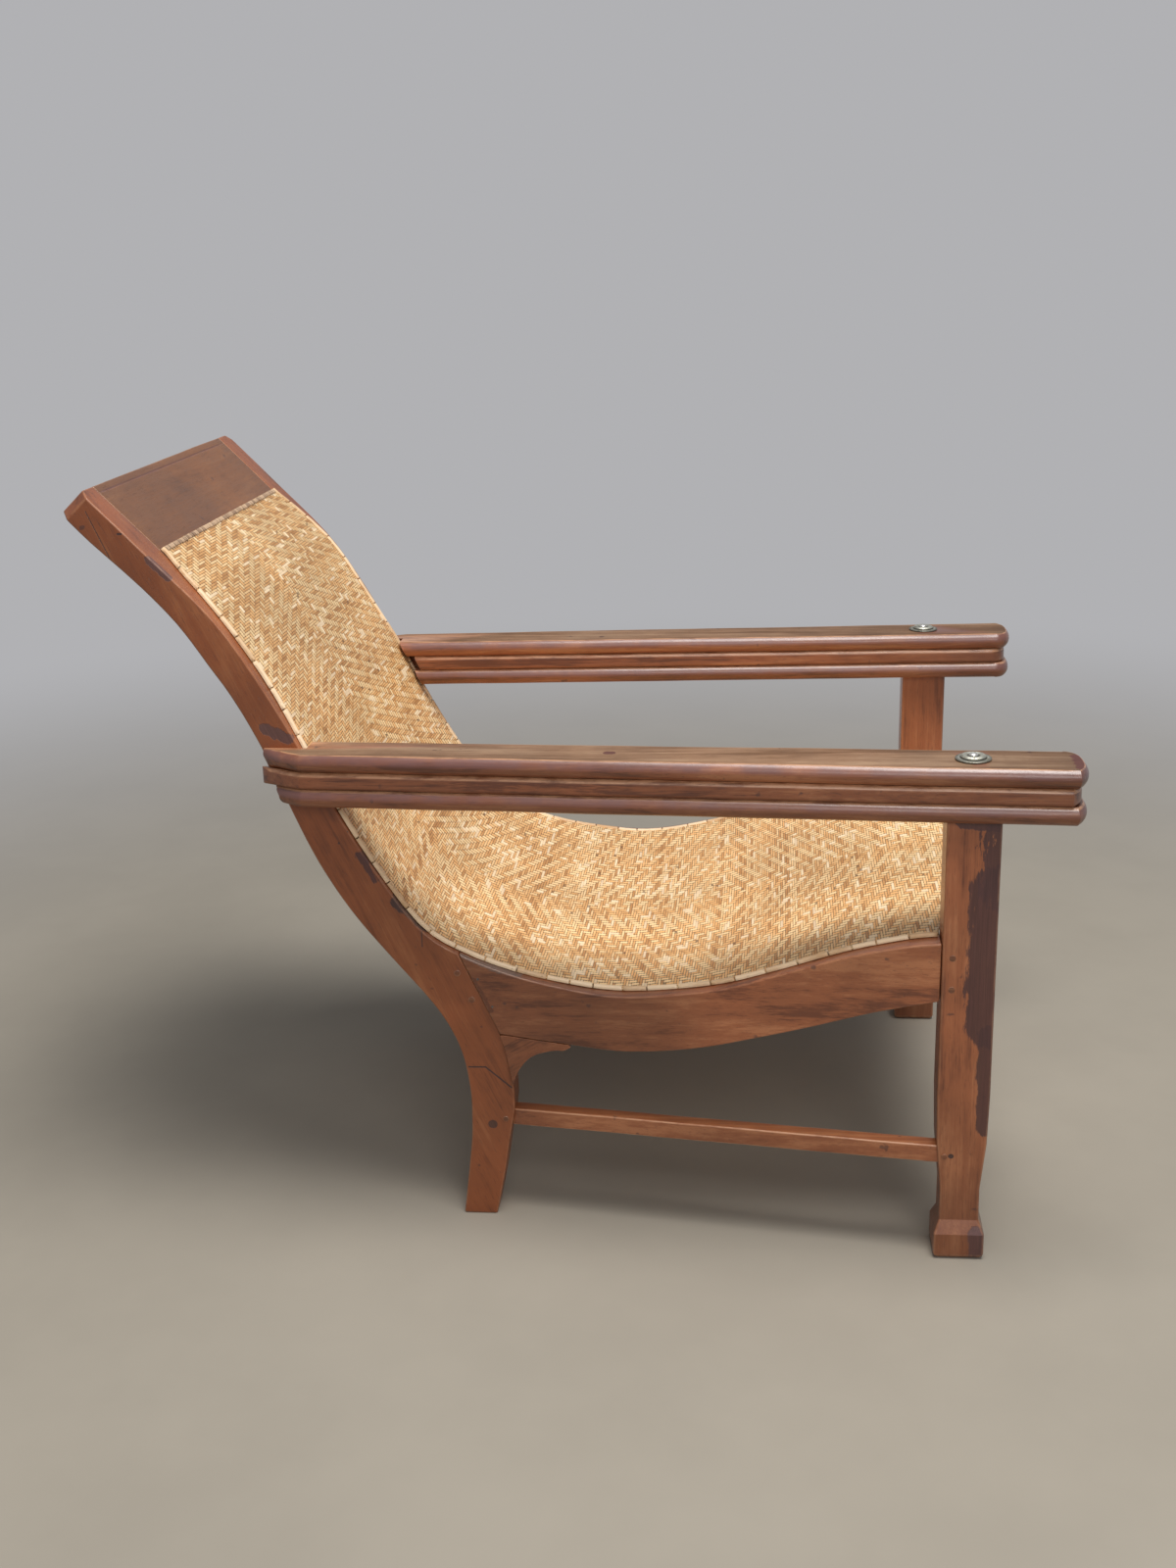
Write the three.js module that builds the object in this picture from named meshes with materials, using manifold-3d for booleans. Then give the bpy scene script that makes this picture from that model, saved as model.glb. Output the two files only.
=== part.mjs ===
// Planters chair: a reclined lounge chair of teak with a woven cane seat, and a leg rest
// that swings out of each arm. Millimetres, +Z up, the sitter faces -Y, and the origin is
// at the bottom centre of the whole chair. "Run" is the distance behind the leg rests' pivots.
import * as THREE from "three";
import { mergeVertices } from "three/addons/utils/BufferGeometryUtils.js";
import Module from "manifold-3d";

const wasm = await Module();
wasm.setup();

// Fits and cuts
const FIT = 0.3; // gap between pieces that touch
const RUNNING_GAP = 0.5; // gap above and below a swinging leg rest
const OVERRUN = 5; // how far a cutter passes through what it cuts

// The chair's side. The seat line is the front of the stile and the top of the side rail.
const CREST_RUN = 951; // pivots to the front corner of the crest
const CREST_HEIGHT = 867; // floor to the front corner of the crest
const ARM_NOSE = 116.5; // pivots to the front tip of the arms

// Points as shares of CREST_RUN and of CREST_HEIGHT
const SEAT_SHARES = [
  [1, 1], [0.926, 0.916], [0.86, 0.8385], [0.8155, 0.7635], [0.77, 0.671], [0.735, 0.592],
  [0.696, 0.514], [0.6425, 0.4255], [0.5945, 0.3865], [0.526, 0.3595], [0.4575, 0.345],
  [0.405, 0.3395], [0.347, 0.345], [0.2755, 0.36], [0.207, 0.3855], [0.136, 0.413],
  [0.067, 0.4325], [0.029, 0.4385], [-0.03, 0.444],
];
const STILE_REAR_SHARES = [
  [1.026, 0.973], [0.9945, 0.9355], [0.9415, 0.88], [0.9015, 0.83], [0.8695, 0.777],
  [0.8445, 0.7345], [0.815, 0.6695], [0.788, 0.594], [0.757, 0.5135], [0.72, 0.443],
  [0.6755, 0.3795], [0.6235, 0.307], [0.597, 0.247], [0.588, 0.188], [0.588, 0.144],
  [0.5905, 0.1025], [0.603, 0],
];
const LEG_FRONT_SHARES = [
  [0.5945, 0.3865], [0.573, 0.3355], [0.5475, 0.2735], [0.536, 0.2165], [0.5335, 0.165],
  [0.5415, 0.116], [0.5495, 0.0625], [0.5615, 0],
];
const RAIL_BOTTOM_SHARES = [
  [0.5475, 0.2735], [0.4565, 0.265], [0.392, 0.261], [0.317, 0.271], [0.243, 0.2915],
  [0.1705, 0.315], [0.1, 0.34], [0.03, 0.36],
];
const BRACKET_SHARES = [
  [0.469, 0.256], [0.4835, 0.255], [0.5105, 0.243], [0.5295, 0.2135], [0.536, 0.175],
];
const KNEE_INDEX = 8; // the seat line's point at the joint of stile and rail
const JOINT_FOOT_INDEX = 2; // the leg front's point at the foot of that joint

// Stiles, in one piece with the rear legs
const STILE_OUTER = 273.8; // centre of the chair to the stile's outer face
const STILE_THICKNESS = 40;
const STILE_TOP_CHAMFER = 10;

// Side rails and knee brackets
const RAIL_THICKNESS = 38;
const RAIL_SETBACK = 4; // rail's outer face inside the front leg's
const RAIL_TENON_LENGTH = 26;
const BRACKET_THICKNESS = 34;

// Front legs
const LEG_OUTER = 339; // centre of the chair to the front leg's outer face
const LEG_WIDTH = 43.6;
const LEG_REAR = 27.5; // pivots to the leg's rear face
const LEG_FRONT = 30; // pivots to the leg's front face
const LEG_TAPER_TOP = 200;
const LEG_TAPER_SHARE = 0.8; // how much of the full size the leg has midway down its taper
const ANKLE_HEIGHT = 85;
const ANKLE_DEPTH = 44;
const ANKLE_WIDTH = 38;
const FOOT_DEPTH = 56;
const FOOT_WIDTH = 53;
const FOOT_HEIGHT = 31;
const FOOT_FLARE = 15; // height of the bevel over the foot
const FOOT_EDGE = 4; // bevel round the foot's underside

// Arms: a fixed armrest, the swinging leg rest below it and a fixed lower rail
const ARM_HEIGHT = 580;
const ARM_LAYER = 20;
const ARM_OVER_LEG = 19; // arms' outer edges outside the front legs, at the front
const ARM_FRONT_WIDTH = 80.5;
const ARM_BESIDE_STILE = 29.7; // and outside the stiles, at the rear
const ARM_REAR_WIDTH = 64;
const ARM_REAR_PROUD = 2; // rear ends behind the stile's rear edge at the armrest's top
const ARM_NOSE_BULGE = 13; // how far the front end bows out
const ARM_NOSE_CORNER = 9; // how far the front corners' rounding reaches back
const ARM_NOSE_POWER = 3; // squareness of the front end's curve, a count
const ARM_EDGE_HEIGHT = 9; // rounding of the edges, up the side
const ARM_EDGE_DEPTH = 6.5; // and across the top
const ARM_CORNER_LENGTH = 52; // length along the arm of the cut at its rear outer corner
const ARM_CORNER_SHARES = [0.7, 0.45]; // the cut's bow, as shares of its width and length
const ARM_SEAT_GAP = 7.5; // room for the seat's edge between arm and stile
const REST_INSET = 2.5; // leg rest's sides inside the armrest's
const REST_NOSE_INSET = 6;
const REST_EDGE = 3.5;
const REST_SIDE_GAP = 2; // leg rest beside the stile
const REST_SEAT_GAP = 16; // leg rest in front of the stile

// Pivots
const PIVOT_INSET = 4.8; // pivot's axis inside the middle of the front leg
const BOLT_RADIUS = 4;
const BOLT_REACH_IN_LEG = 55;
const BOLT_HEAD_RADIUS = 5;
const BOLT_HEAD_HEIGHT = 2.8;
const WASHER_RADIUS = 19;
const WASHER_THICKNESS = 2;
const CUP_RADIUS = 14.2;
const CUP_HEIGHT = 3;
const CUP_RIM = 0.8;
const CUP_CROWN_SHARES = [0.78, 0.56]; // radii of the crown's two edges
const CUP_SEAT_SHARE = 0.55; // height of the seat for the bolt's head

// Cross members
const BOARD_HEIGHT = 128; // along the back, from the crest down
const BOARD_THICKNESS = 20;
const FRONT_RAIL_FACE = 22; // pivots to the front rail's front face
const FRONT_RAIL_THICKNESS = 28;
const FRONT_RAIL_HEIGHT = 58;
const BACK_RAIL_DROP = 18; // below the seat line
const BACK_RAIL_THICKNESS = 22;
const BACK_RAIL_HEIGHT = 46;
const BACK_RAIL_SHARE = 0.4; // its place along the seat line's points
const TENON_THICKNESS = 12;
const TENON_LENGTH = 22;
const TENON_SHOULDER = 9; // what a tenon's edges stay inside its member's

// Side stretchers
const STRETCHER_TOP = 137;
const STRETCHER_HEIGHT = 21;
const STRETCHER_THICKNESS = 19;
const STRETCHER_SETBACK = 6; // inside the legs' outer faces
const STRETCHER_TENON_RADIUS = 6.5;
const STRETCHER_TENON_LENGTH = 18;

// Seat
const MAT_THICKNESS = 3;
const MAT_TOP_DROP = 99; // along the back, from the crest down to the mat's top edge
const MAT_SAG = 14;
const MAT_FRONT = 19; // pivots to the mat's front edge
const MAT_LEG_GAP = 1.5;
const MAT_BEND_GAP = 1; // where the mat starts to sag, inside the wood's inner edge
const MAT_LIP = 16; // bare wood outside the mat's edge

// The lip along the chair, as shares of CREST_RUN and of MAT_LIP
const LIP_SHARES = [
  [0.922, 2.6], [0.9, 1.9], [0.874, 1.4], [0.849, 1.05], [0.81, 1.1], [0.787, 0.85], [0.765, 0.45],
  [0.7, 0.35], [0.6, 0.6], [0.467, 0.9], [0.4, 1.05], [0.3, 0.95], [0.2, 0.85], [0.1, 1.1],
  [0.03, 1.25],
];
const BINDING_WIDTH = 6;
const BINDING_THICKNESS = 1.2;
const BINDING_INSET = 1; // bindings inside the mat's edge

// Pegs, nails and screws
const PEG_RADIUS = 4;
const PEG_LENGTH = 34;
const PEG_PROUD = 0.4;
const STILE_PEG_SHARES = [0.3, 0.62]; // places down the joint of stile and rail
const LEG_PEG_SHARES = [0.22, 0.76]; // places down the rail's front end
const SMALL_PEG_RADIUS = 3.5;
const SMALL_PEG_LENGTH = 26;
const NAIL_RADIUS = 1.6;
const NAIL_HEAD_RADIUS = 2.6;
const NAIL_HEAD_HEIGHT = 0.8;
const NAIL_LENGTH = 24;
const NAIL_INSET = 9; // joint to the nails beside it
const NAIL_SHARES = [0.36, 0.68]; // places down the joint
const SCREW_RADIUS = 2.2;
const SCREW_HEAD_RADIUS = 4.2;
const SCREW_HEAD_HEIGHT = 2.6;
const SCREW_BITE = 11; // how far a screw goes into the arm

// Fineness, in counts
const CURVE_STEPS = 3; // facets between two points of an outline
const ROUND_SIDES = 20;
const SMALL_ROUND_SIDES = 10;
const EDGE_STEPS = 3;
const NOSE_STEPS = 10;
const HEAD_STEPS = 3;
const MAT_STEPS = 8; // across the mat, with the outer two over the wood
const HALVINGS = 40;

const REAR_RUN = CREST_RUN * STILE_REAR_SHARES[0][0];
const MIDDLE_RUN = (REAR_RUN - ARM_NOSE) / 2;
const STILE_INNER = STILE_OUTER - STILE_THICKNESS;
const LEG_INNER = LEG_OUTER - LEG_WIDTH;
const LEG_TOP = ARM_HEIGHT - 3 * ARM_LAYER;
const PIVOT_SIDE = LEG_OUTER - LEG_WIDTH / 2 - PIVOT_INSET; // centre of the chair to a pivot's axis
const ARM_OUTER_FRONT = LEG_OUTER + ARM_OVER_LEG;
const ARM_INNER_FRONT = ARM_OUTER_FRONT - ARM_FRONT_WIDTH;
const ARM_OUTER_REAR = STILE_OUTER + ARM_BESIDE_STILE;
const ARM_INNER_REAR = ARM_OUTER_REAR - ARM_REAR_WIDTH;
const ARM_REACH = LEG_OUTER + STILE_OUTER; // a side reach beyond either end of the arms
const STRETCHER_MIDDLE = STRETCHER_TOP - STRETCHER_HEIGHT / 2;
const LEG_PEG_RUN = LEG_REAR - TENON_LENGTH / 2;

const wood = new THREE.MeshStandardMaterial({ color: "#85502f", roughness: 0.5 });
const darkWood = new THREE.MeshStandardMaterial({ color: "#5b3323", roughness: 0.6 });
const cane = new THREE.MeshStandardMaterial({ color: "#d3a263", roughness: 0.65 });
const rattan = new THREE.MeshStandardMaterial({ color: "#e2bf8b", roughness: 0.6 });
const steel = new THREE.MeshStandardMaterial({ color: "#8f8f86", roughness: 0.4, metalness: 1 });

// A solid for cutting and joining, from a closed three.js geometry
function solid(geometry) {
  const bare = geometry.clone();
  bare.deleteAttribute("normal");
  bare.deleteAttribute("uv");
  const merged = mergeVertices(bare);
  return new wasm.Manifold(new wasm.Mesh({
    numProp: 3,
    vertProperties: new Float32Array(merged.attributes.position.array),
    triVerts: new Uint32Array(merged.index.array),
  }));
}

function geometryOf(body) {
  const mesh = body.getMesh();
  const geometry = new THREE.BufferGeometry();
  geometry.setAttribute("position", new THREE.BufferAttribute(mesh.vertProperties, 3));
  geometry.setIndex(new THREE.BufferAttribute(mesh.triVerts, 1));
  return geometry;
}

function cut(body, cutters) {
  return cutters.reduce((left, cutter) => left.subtract(cutter), body);
}

function joined(bodies) {
  return bodies.reduce((left, next) => left.add(next));
}

// Lays an outline of (run, height) across the chair, from x = from to x = to
const ACROSS = new THREE.Matrix4().makeBasis(
  new THREE.Vector3(0, 1, 0),
  new THREE.Vector3(0, 0, 1),
  new THREE.Vector3(1, 0, 0),
);

function prism(outline, from, to) {
  const geometry = new THREE.ExtrudeGeometry(new THREE.Shape(outline), {
    depth: to - from,
    bevelEnabled: false,
  });
  geometry.applyMatrix4(ACROSS);
  return geometry.translate(from, -MIDDLE_RUN, 0);
}

function box(xFrom, xTo, runFrom, runTo, zFrom, zTo) {
  const geometry = new THREE.BoxGeometry(xTo - xFrom, runTo - runFrom, zTo - zFrom);
  return geometry.translate((xFrom + xTo) / 2, (runFrom + runTo) / 2 - MIDDLE_RUN, (zFrom + zTo) / 2);
}

// A round bar across the chair, from x = from to x = to, at a run and a height
function barAcross(radius, from, to, run, height) {
  const geometry = new THREE.CylinderGeometry(radius, radius, to - from, SMALL_ROUND_SIDES);
  return geometry.rotateZ(Math.PI / 2).translate((from + to) / 2, run - MIDDLE_RUN, height);
}

function pivotHole(zFrom, zTo) {
  const radius = BOLT_RADIUS + FIT;
  const geometry = new THREE.CylinderGeometry(radius, radius, zTo - zFrom, ROUND_SIDES);
  geometry.rotateX(Math.PI / 2);
  return solid(geometry.translate(PIVOT_SIDE, -MIDDLE_RUN, (zFrom + zTo) / 2));
}

// Moves every point sideways by an amount that depends on its run
function splay(geometry, offsetAt) {
  const position = geometry.attributes.position;
  for (let i = 0; i < position.count; i += 1) {
    const run = position.getY(i) + MIDDLE_RUN;
    position.setX(i, position.getX(i) + offsetAt(run));
  }
  return geometry;
}

function mirrored(geometry) {
  const flipped = geometry.clone().scale(-1, 1, 1);
  const whole = flipped.index ? flipped : mergeVertices(flipped);
  const index = whole.index;
  for (let i = 0; i < index.count; i += 3) {
    const second = index.getX(i + 1);
    index.setX(i + 1, index.getX(i + 2));
    index.setX(i + 2, second);
  }
  return whole;
}

// Curves of the side
function curveOf(shares) {
  return new THREE.SplineCurve(
    shares.map(([run, height]) => new THREE.Vector2(run * CREST_RUN, height * CREST_HEIGHT)),
  );
}

const seatLine = curveOf(SEAT_SHARES);
const stileRear = curveOf(STILE_REAR_SHARES);
const legFront = curveOf(LEG_FRONT_SHARES);
const railBottom = curveOf(RAIL_BOTTOM_SHARES);
const bracketUnder = curveOf(BRACKET_SHARES);

const KNEE = KNEE_INDEX / (SEAT_SHARES.length - 1);
const JOINT_FOOT = JOINT_FOOT_INDEX / (LEG_FRONT_SHARES.length - 1);
const kneePoint = seatLine.getPoint(KNEE);

// The places between two shares of a curve, on steps that all its pieces have in common
function placesAlong(curve, from, to) {
  const steps = (curve.points.length - 1) * CURVE_STEPS;
  const places = [from];
  for (let i = Math.ceil(from * steps); i <= to * steps; i += 1) {
    if (i / steps > from && i / steps < to) places.push(i / steps);
  }
  return [...places, to];
}

function stretchOf(curve, from = 0, to = 1) {
  return placesAlong(curve, from, to).map((share) => curve.getPoint(share));
}

// Where a measure that falls along a curve comes down to a value, found by halving
function shareWhere(curve, measure, value, from = 0, to = 1) {
  let low = from;
  let high = to;
  for (let i = 0; i < HALVINGS; i += 1) {
    const middle = (low + high) / 2;
    if (measure(curve.getPoint(middle)) > value) low = middle;
    else high = middle;
  }
  return high;
}

const runOf = (point) => point.x;
const heightOf = (point) => point.y;

function stileRearAt(height) {
  return stileRear.getPoint(shareWhere(stileRear, heightOf, height)).x;
}

function seatShareAtRun(run) {
  return shareWhere(seatLine, runOf, run, KNEE);
}

function seatShareBelowCrest(length) {
  return seatLine.getUtoTmapping(0, length);
}

// A point by the seat line: further along it, and out of the seat towards the sitter
function besideSeat(share, out, along = 0) {
  const point = seatLine.getPoint(share);
  const down = seatLine.getTangent(share);
  return new THREE.Vector2(
    point.x + down.x * along + down.y * out,
    point.y + down.y * along - down.x * out,
  );
}

function besideSeatLine(from, to, out) {
  return placesAlong(seatLine, from, to).map((share) => besideSeat(share, out));
}

// The outline of a layer that follows the seat line between two distances out of it
function seatBand(from, to, near, far) {
  return [...besideSeatLine(from, to, near), ...besideSeatLine(from, to, far).reverse()];
}

// The side rail leaves the stile's plane at the knee and spreads to the front leg
const RAIL_SLOPE = (LEG_OUTER - RAIL_SETBACK - STILE_OUTER) / (kneePoint.x - LEG_REAR);

function railOffset(run) {
  return Math.max(0, (kneePoint.x - run) * RAIL_SLOPE);
}

// The joint of stile and rail
function jointPlace(share, back) {
  const point = legFront.getPoint(JOINT_FOOT * share);
  return new THREE.Vector2(point.x + back, point.y);
}

function railTenon(grow) {
  const jointFoot = legFront.getPoint(JOINT_FOOT);
  const top = kneePoint.y - TENON_SHOULDER * 2 + grow;
  const foot = jointFoot.y + TENON_SHOULDER - grow;
  const outline = [
    new THREE.Vector2(kneePoint.x - RAIL_TENON_LENGTH, top),
    new THREE.Vector2(kneePoint.x + RAIL_TENON_LENGTH - TENON_SHOULDER + grow, top),
    new THREE.Vector2(jointFoot.x + RAIL_TENON_LENGTH + grow, foot),
    new THREE.Vector2(jointFoot.x - TENON_SHOULDER, foot),
  ];
  const middle = STILE_OUTER - RAIL_THICKNESS / 2;
  const half = TENON_THICKNESS / 2 + grow;
  return solid(prism(outline, middle - half, middle + half));
}

function stilePegPlaces() {
  return STILE_PEG_SHARES.map((share) => jointPlace(share, RAIL_TENON_LENGTH / 2));
}

function stilePegHoles() {
  const inner = STILE_OUTER - PEG_LENGTH;
  return stilePegPlaces().map((place) => solid(
    barAcross(PEG_RADIUS + FIT, inner, STILE_OUTER + OVERRUN, place.x, place.y),
  ));
}

// Crest board
const boardEnd = seatShareBelowCrest(BOARD_HEIGHT);

function boardTenonOutline(grow) {
  const cheek = (BOARD_THICKNESS - TENON_THICKNESS) / 2;
  return seatBand(
    seatShareBelowCrest(TENON_SHOULDER * 2 - grow),
    seatShareBelowCrest(BOARD_HEIGHT - TENON_SHOULDER + grow),
    grow - cheek,
    cheek - BOARD_THICKNESS - grow,
  );
}

function crestBoard() {
  const outline = seatBand(0, boardEnd, 0, -BOARD_THICKNESS);
  const board = solid(prism(outline, FIT - STILE_INNER, STILE_INNER - FIT));
  const reach = STILE_INNER + TENON_LENGTH;
  return geometryOf(board.add(solid(prism(boardTenonOutline(0), -reach, reach))));
}

// Back cross rail
function backRailOutline(inset) {
  const half = BACK_RAIL_HEIGHT / 2 - inset;
  const near = -BACK_RAIL_DROP - inset;
  const far = inset - BACK_RAIL_DROP - BACK_RAIL_THICKNESS;
  return [[near, -half], [far, -half], [far, half], [near, half]].map(
    ([out, along]) => besideSeat(BACK_RAIL_SHARE, out, along),
  );
}

const BACK_RAIL_CHEEK = (BACK_RAIL_THICKNESS - TENON_THICKNESS) / 2;

function backCrossRail() {
  const rail = solid(prism(backRailOutline(0), FIT - STILE_INNER, STILE_INNER - FIT));
  const reach = STILE_INNER + TENON_LENGTH;
  return geometryOf(rail.add(solid(prism(backRailOutline(BACK_RAIL_CHEEK), -reach, reach))));
}

// Side stretcher
function stretcherSide(run) {
  const rear = legFront.getPoint(shareWhere(legFront, heightOf, STRETCHER_MIDDLE)).x;
  const slope = (LEG_OUTER - STILE_OUTER) / (rear - LEG_REAR);
  return STILE_OUTER - STRETCHER_SETBACK - STRETCHER_THICKNESS / 2 + (rear - run) * slope;
}

function stretcherEnds() {
  return {
    rear: legFront.getPoint(shareWhere(legFront, heightOf, STRETCHER_MIDDLE)).x,
    front: LEG_REAR - (1 - LEG_TAPER_SHARE) * (LEG_REAR - ANKLE_DEPTH / 2),
  };
}

// The round tenons on the stretcher's ends, in one bar through it
function stretcherTenons(grow) {
  const { rear, front } = stretcherEnds();
  const length = rear - front + STRETCHER_TENON_LENGTH * 2 + grow * 2;
  const radius = STRETCHER_TENON_RADIUS + grow;
  const bar = new THREE.CylinderGeometry(radius, radius, length, SMALL_ROUND_SIDES);
  bar.translate(0, (rear + front) / 2 - MIDDLE_RUN, STRETCHER_MIDDLE);
  return solid(splay(bar, stretcherSide));
}

function stretcherPegs() {
  const { rear, front } = stretcherEnds();
  return [
    { outer: STILE_OUTER, run: rear + STRETCHER_TENON_LENGTH / 2 },
    { outer: LEG_OUTER, run: front - STRETCHER_TENON_LENGTH / 2 },
  ];
}

function stretcherPegHole({ outer, run }) {
  const inner = outer - SMALL_PEG_LENGTH;
  return solid(barAcross(SMALL_PEG_RADIUS + FIT, inner, outer + OVERRUN, run, STRETCHER_MIDDLE));
}

function sideStretcher() {
  const { rear, front } = stretcherEnds();
  const bar = solid(splay(box(
    -STRETCHER_THICKNESS / 2, STRETCHER_THICKNESS / 2,
    front - OVERRUN, rear + OVERRUN,
    STRETCHER_TOP - STRETCHER_HEIGHT, STRETCHER_TOP,
  ), stretcherSide));
  const fitted = cut(bar, [stileBlank(-FIT), legBlank().translate([0, FIT, 0])]);
  return geometryOf(cut(fitted.add(stretcherTenons(0)), stretcherPegs().map(stretcherPegHole)));
}

// Screws from the stile's inner face into the two fixed arm planks
function screwPlaces() {
  return [ARM_HEIGHT - ARM_LAYER / 2, LEG_TOP + ARM_LAYER / 2].map((height) => {
    const front = seatLine.getPoint(shareWhere(seatLine, heightOf, height, 0, KNEE)).x;
    return new THREE.Vector2((front + stileRearAt(height)) / 2, height);
  });
}

function screwHole(place) {
  const headEnd = STILE_INNER + SCREW_HEAD_HEIGHT + FIT;
  const shankEnd = STILE_OUTER + SCREW_BITE + FIT;
  return joined([
    solid(barAcross(SCREW_HEAD_RADIUS + FIT, STILE_INNER - OVERRUN, headEnd, place.x, place.y)),
    solid(barAcross(SCREW_RADIUS + FIT, STILE_INNER, shankEnd, place.x, place.y)),
  ]);
}

// Stile and rear leg
function stileBlank(shift) {
  const outline = [
    ...besideSeatLine(0, KNEE, 0),
    ...stretchOf(legFront).slice(1),
    ...stretchOf(stileRear).reverse(),
  ];
  const from = shift ? 0 : STILE_INNER;
  const to = shift ? LEG_OUTER : STILE_OUTER;
  return solid(prism(outline, from, to).translate(0, shift, 0));
}

function stileTopCutter() {
  const front = seatLine.getPoint(0);
  const rear = stileRear.getPoint(0);
  const side = STILE_TOP_CHAMFER * Math.SQRT2;
  const cutter = new THREE.BoxGeometry(side, front.distanceTo(rear) * 2, side);
  cutter.rotateY(Math.PI / 4);
  cutter.rotateX(-Math.atan2(front.y - rear.y, rear.x - front.x));
  cutter.translate(STILE_OUTER, (front.x + rear.x) / 2 - MIDDLE_RUN, (front.y + rear.y) / 2);
  return solid(cutter);
}

function stile() {
  const mortiseFrom = STILE_INNER - OVERRUN;
  const mortiseTo = STILE_INNER + TENON_LENGTH + FIT;
  return geometryOf(cut(stileBlank(0), [
    stileTopCutter(),
    railTenon(FIT),
    solid(prism(boardTenonOutline(FIT), mortiseFrom, mortiseTo)),
    solid(prism(backRailOutline(BACK_RAIL_CHEEK - FIT), mortiseFrom, mortiseTo)),
    stretcherTenons(FIT),
    stretcherPegHole(stretcherPegs()[0]),
    ...stilePegHoles(),
    ...screwPlaces().map(screwHole),
  ]));
}

// Side rail
const railEndShare = seatShareAtRun(LEG_REAR + FIT);
const RAIL_END_TOP = seatLine.getPoint(railEndShare).y;
const RAIL_END_FOOT = railBottom.getPoint(1).y;

function legTenon(grow) {
  const middle = STILE_OUTER - RAIL_THICKNESS / 2;
  const half = TENON_THICKNESS / 2 + grow;
  return solid(splay(box(
    middle - half, middle + half,
    LEG_REAR - TENON_LENGTH - grow, LEG_REAR + TENON_SHOULDER,
    RAIL_END_FOOT + TENON_SHOULDER - grow, RAIL_END_TOP - TENON_SHOULDER + grow,
  ), railOffset));
}

function legPegHeights() {
  return LEG_PEG_SHARES.map((share) => RAIL_END_TOP - (RAIL_END_TOP - RAIL_END_FOOT) * share);
}

function legPegHoles() {
  const inner = LEG_OUTER - PEG_LENGTH;
  return legPegHeights().map((height) => solid(
    barAcross(PEG_RADIUS + FIT, inner, LEG_OUTER + OVERRUN, LEG_PEG_RUN, height),
  ));
}

function nailPlaces() {
  return NAIL_SHARES.map((share) => jointPlace(share, -NAIL_INSET));
}

function nailHole(place) {
  const face = STILE_OUTER + railOffset(place.x);
  const headFrom = face - NAIL_HEAD_HEIGHT - FIT;
  return joined([
    solid(barAcross(NAIL_RADIUS + FIT, face - NAIL_LENGTH - FIT, face + OVERRUN, place.x, place.y)),
    solid(barAcross(NAIL_HEAD_RADIUS + FIT, headFrom, face + OVERRUN, place.x, place.y)),
  ]);
}

function sideRail() {
  const outline = [
    ...besideSeatLine(KNEE, railEndShare, 0),
    ...stretchOf(railBottom).reverse(),
    ...stretchOf(legFront, 0, JOINT_FOOT).reverse().slice(1, -1),
  ];
  const blank = solid(splay(prism(outline, STILE_OUTER - RAIL_THICKNESS, STILE_OUTER), railOffset));
  const legFace = solid(box(0, LEG_OUTER + OVERRUN, -LEG_FRONT, LEG_REAR + FIT, 0, ARM_HEIGHT));
  const rail = joined([cut(blank, [stileBlank(-FIT), legFace]), railTenon(0), legTenon(0)]);
  return geometryOf(cut(rail, [...stilePegHoles(), ...legPegHoles(), ...nailPlaces().map(nailHole)]));
}

function kneeBracket() {
  const seam = stretchOf(railBottom, 0, 1 / (RAIL_BOTTOM_SHARES.length - 1));
  const outline = [
    ...stretchOf(bracketUnder).reverse(),
    ...seam.reverse().map((point) => new THREE.Vector2(point.x, point.y - FIT)),
  ];
  const blank = splay(prism(outline, STILE_OUTER - BRACKET_THICKNESS, STILE_OUTER), railOffset);
  return geometryOf(solid(blank).subtract(stileBlank(-FIT)));
}

// Front leg: a square post that narrows to an ankle over a bevelled block foot
function legBlank() {
  const middle = LEG_OUTER - LEG_WIDTH / 2;
  const runMiddle = (LEG_REAR - LEG_FRONT) / 2;
  const depth = LEG_REAR + LEG_FRONT;
  const partly = (full, narrow) => narrow + (full - narrow) * LEG_TAPER_SHARE;
  const sections = [
    [0, FOOT_WIDTH - FOOT_EDGE * 2, FOOT_DEPTH - FOOT_EDGE * 2],
    [FOOT_EDGE, FOOT_WIDTH, FOOT_DEPTH],
    [FOOT_HEIGHT, FOOT_WIDTH, FOOT_DEPTH],
    [FOOT_HEIGHT + FOOT_FLARE, ANKLE_WIDTH, ANKLE_DEPTH],
    [ANKLE_HEIGHT, ANKLE_WIDTH, ANKLE_DEPTH],
    [(ANKLE_HEIGHT + LEG_TAPER_TOP) / 2, partly(LEG_WIDTH, ANKLE_WIDTH), partly(depth, ANKLE_DEPTH)],
    [LEG_TAPER_TOP, LEG_WIDTH, depth],
    [LEG_TOP - FIT, LEG_WIDTH, depth],
  ];
  const post = new THREE.BoxGeometry(1, 1, 1, 1, 1, sections.length - 1);
  const position = post.attributes.position;
  for (let i = 0; i < position.count; i += 1) {
    const level = Math.round((position.getZ(i) + 1 / 2) * (sections.length - 1));
    const [z, width, thickness] = sections[level];
    const x = middle + position.getX(i) * width;
    const run = runMiddle + position.getY(i) * thickness;
    position.setXYZ(i, x, run - MIDDLE_RUN, z);
  }
  return solid(post);
}

function frontLeg() {
  return geometryOf(cut(legBlank(), [
    pivotHole(LEG_TOP - BOLT_REACH_IN_LEG - FIT, LEG_TOP + OVERRUN),
    solid(frontRailTenon(FIT)),
    legTenon(FIT),
    stretcherTenons(FIT),
    stretcherPegHole(stretcherPegs()[1]),
    ...legPegHoles(),
  ]));
}

// Arms
const ARM_REAR_RUN = stileRearAt(ARM_HEIGHT) + ARM_REAR_PROUD;

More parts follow.
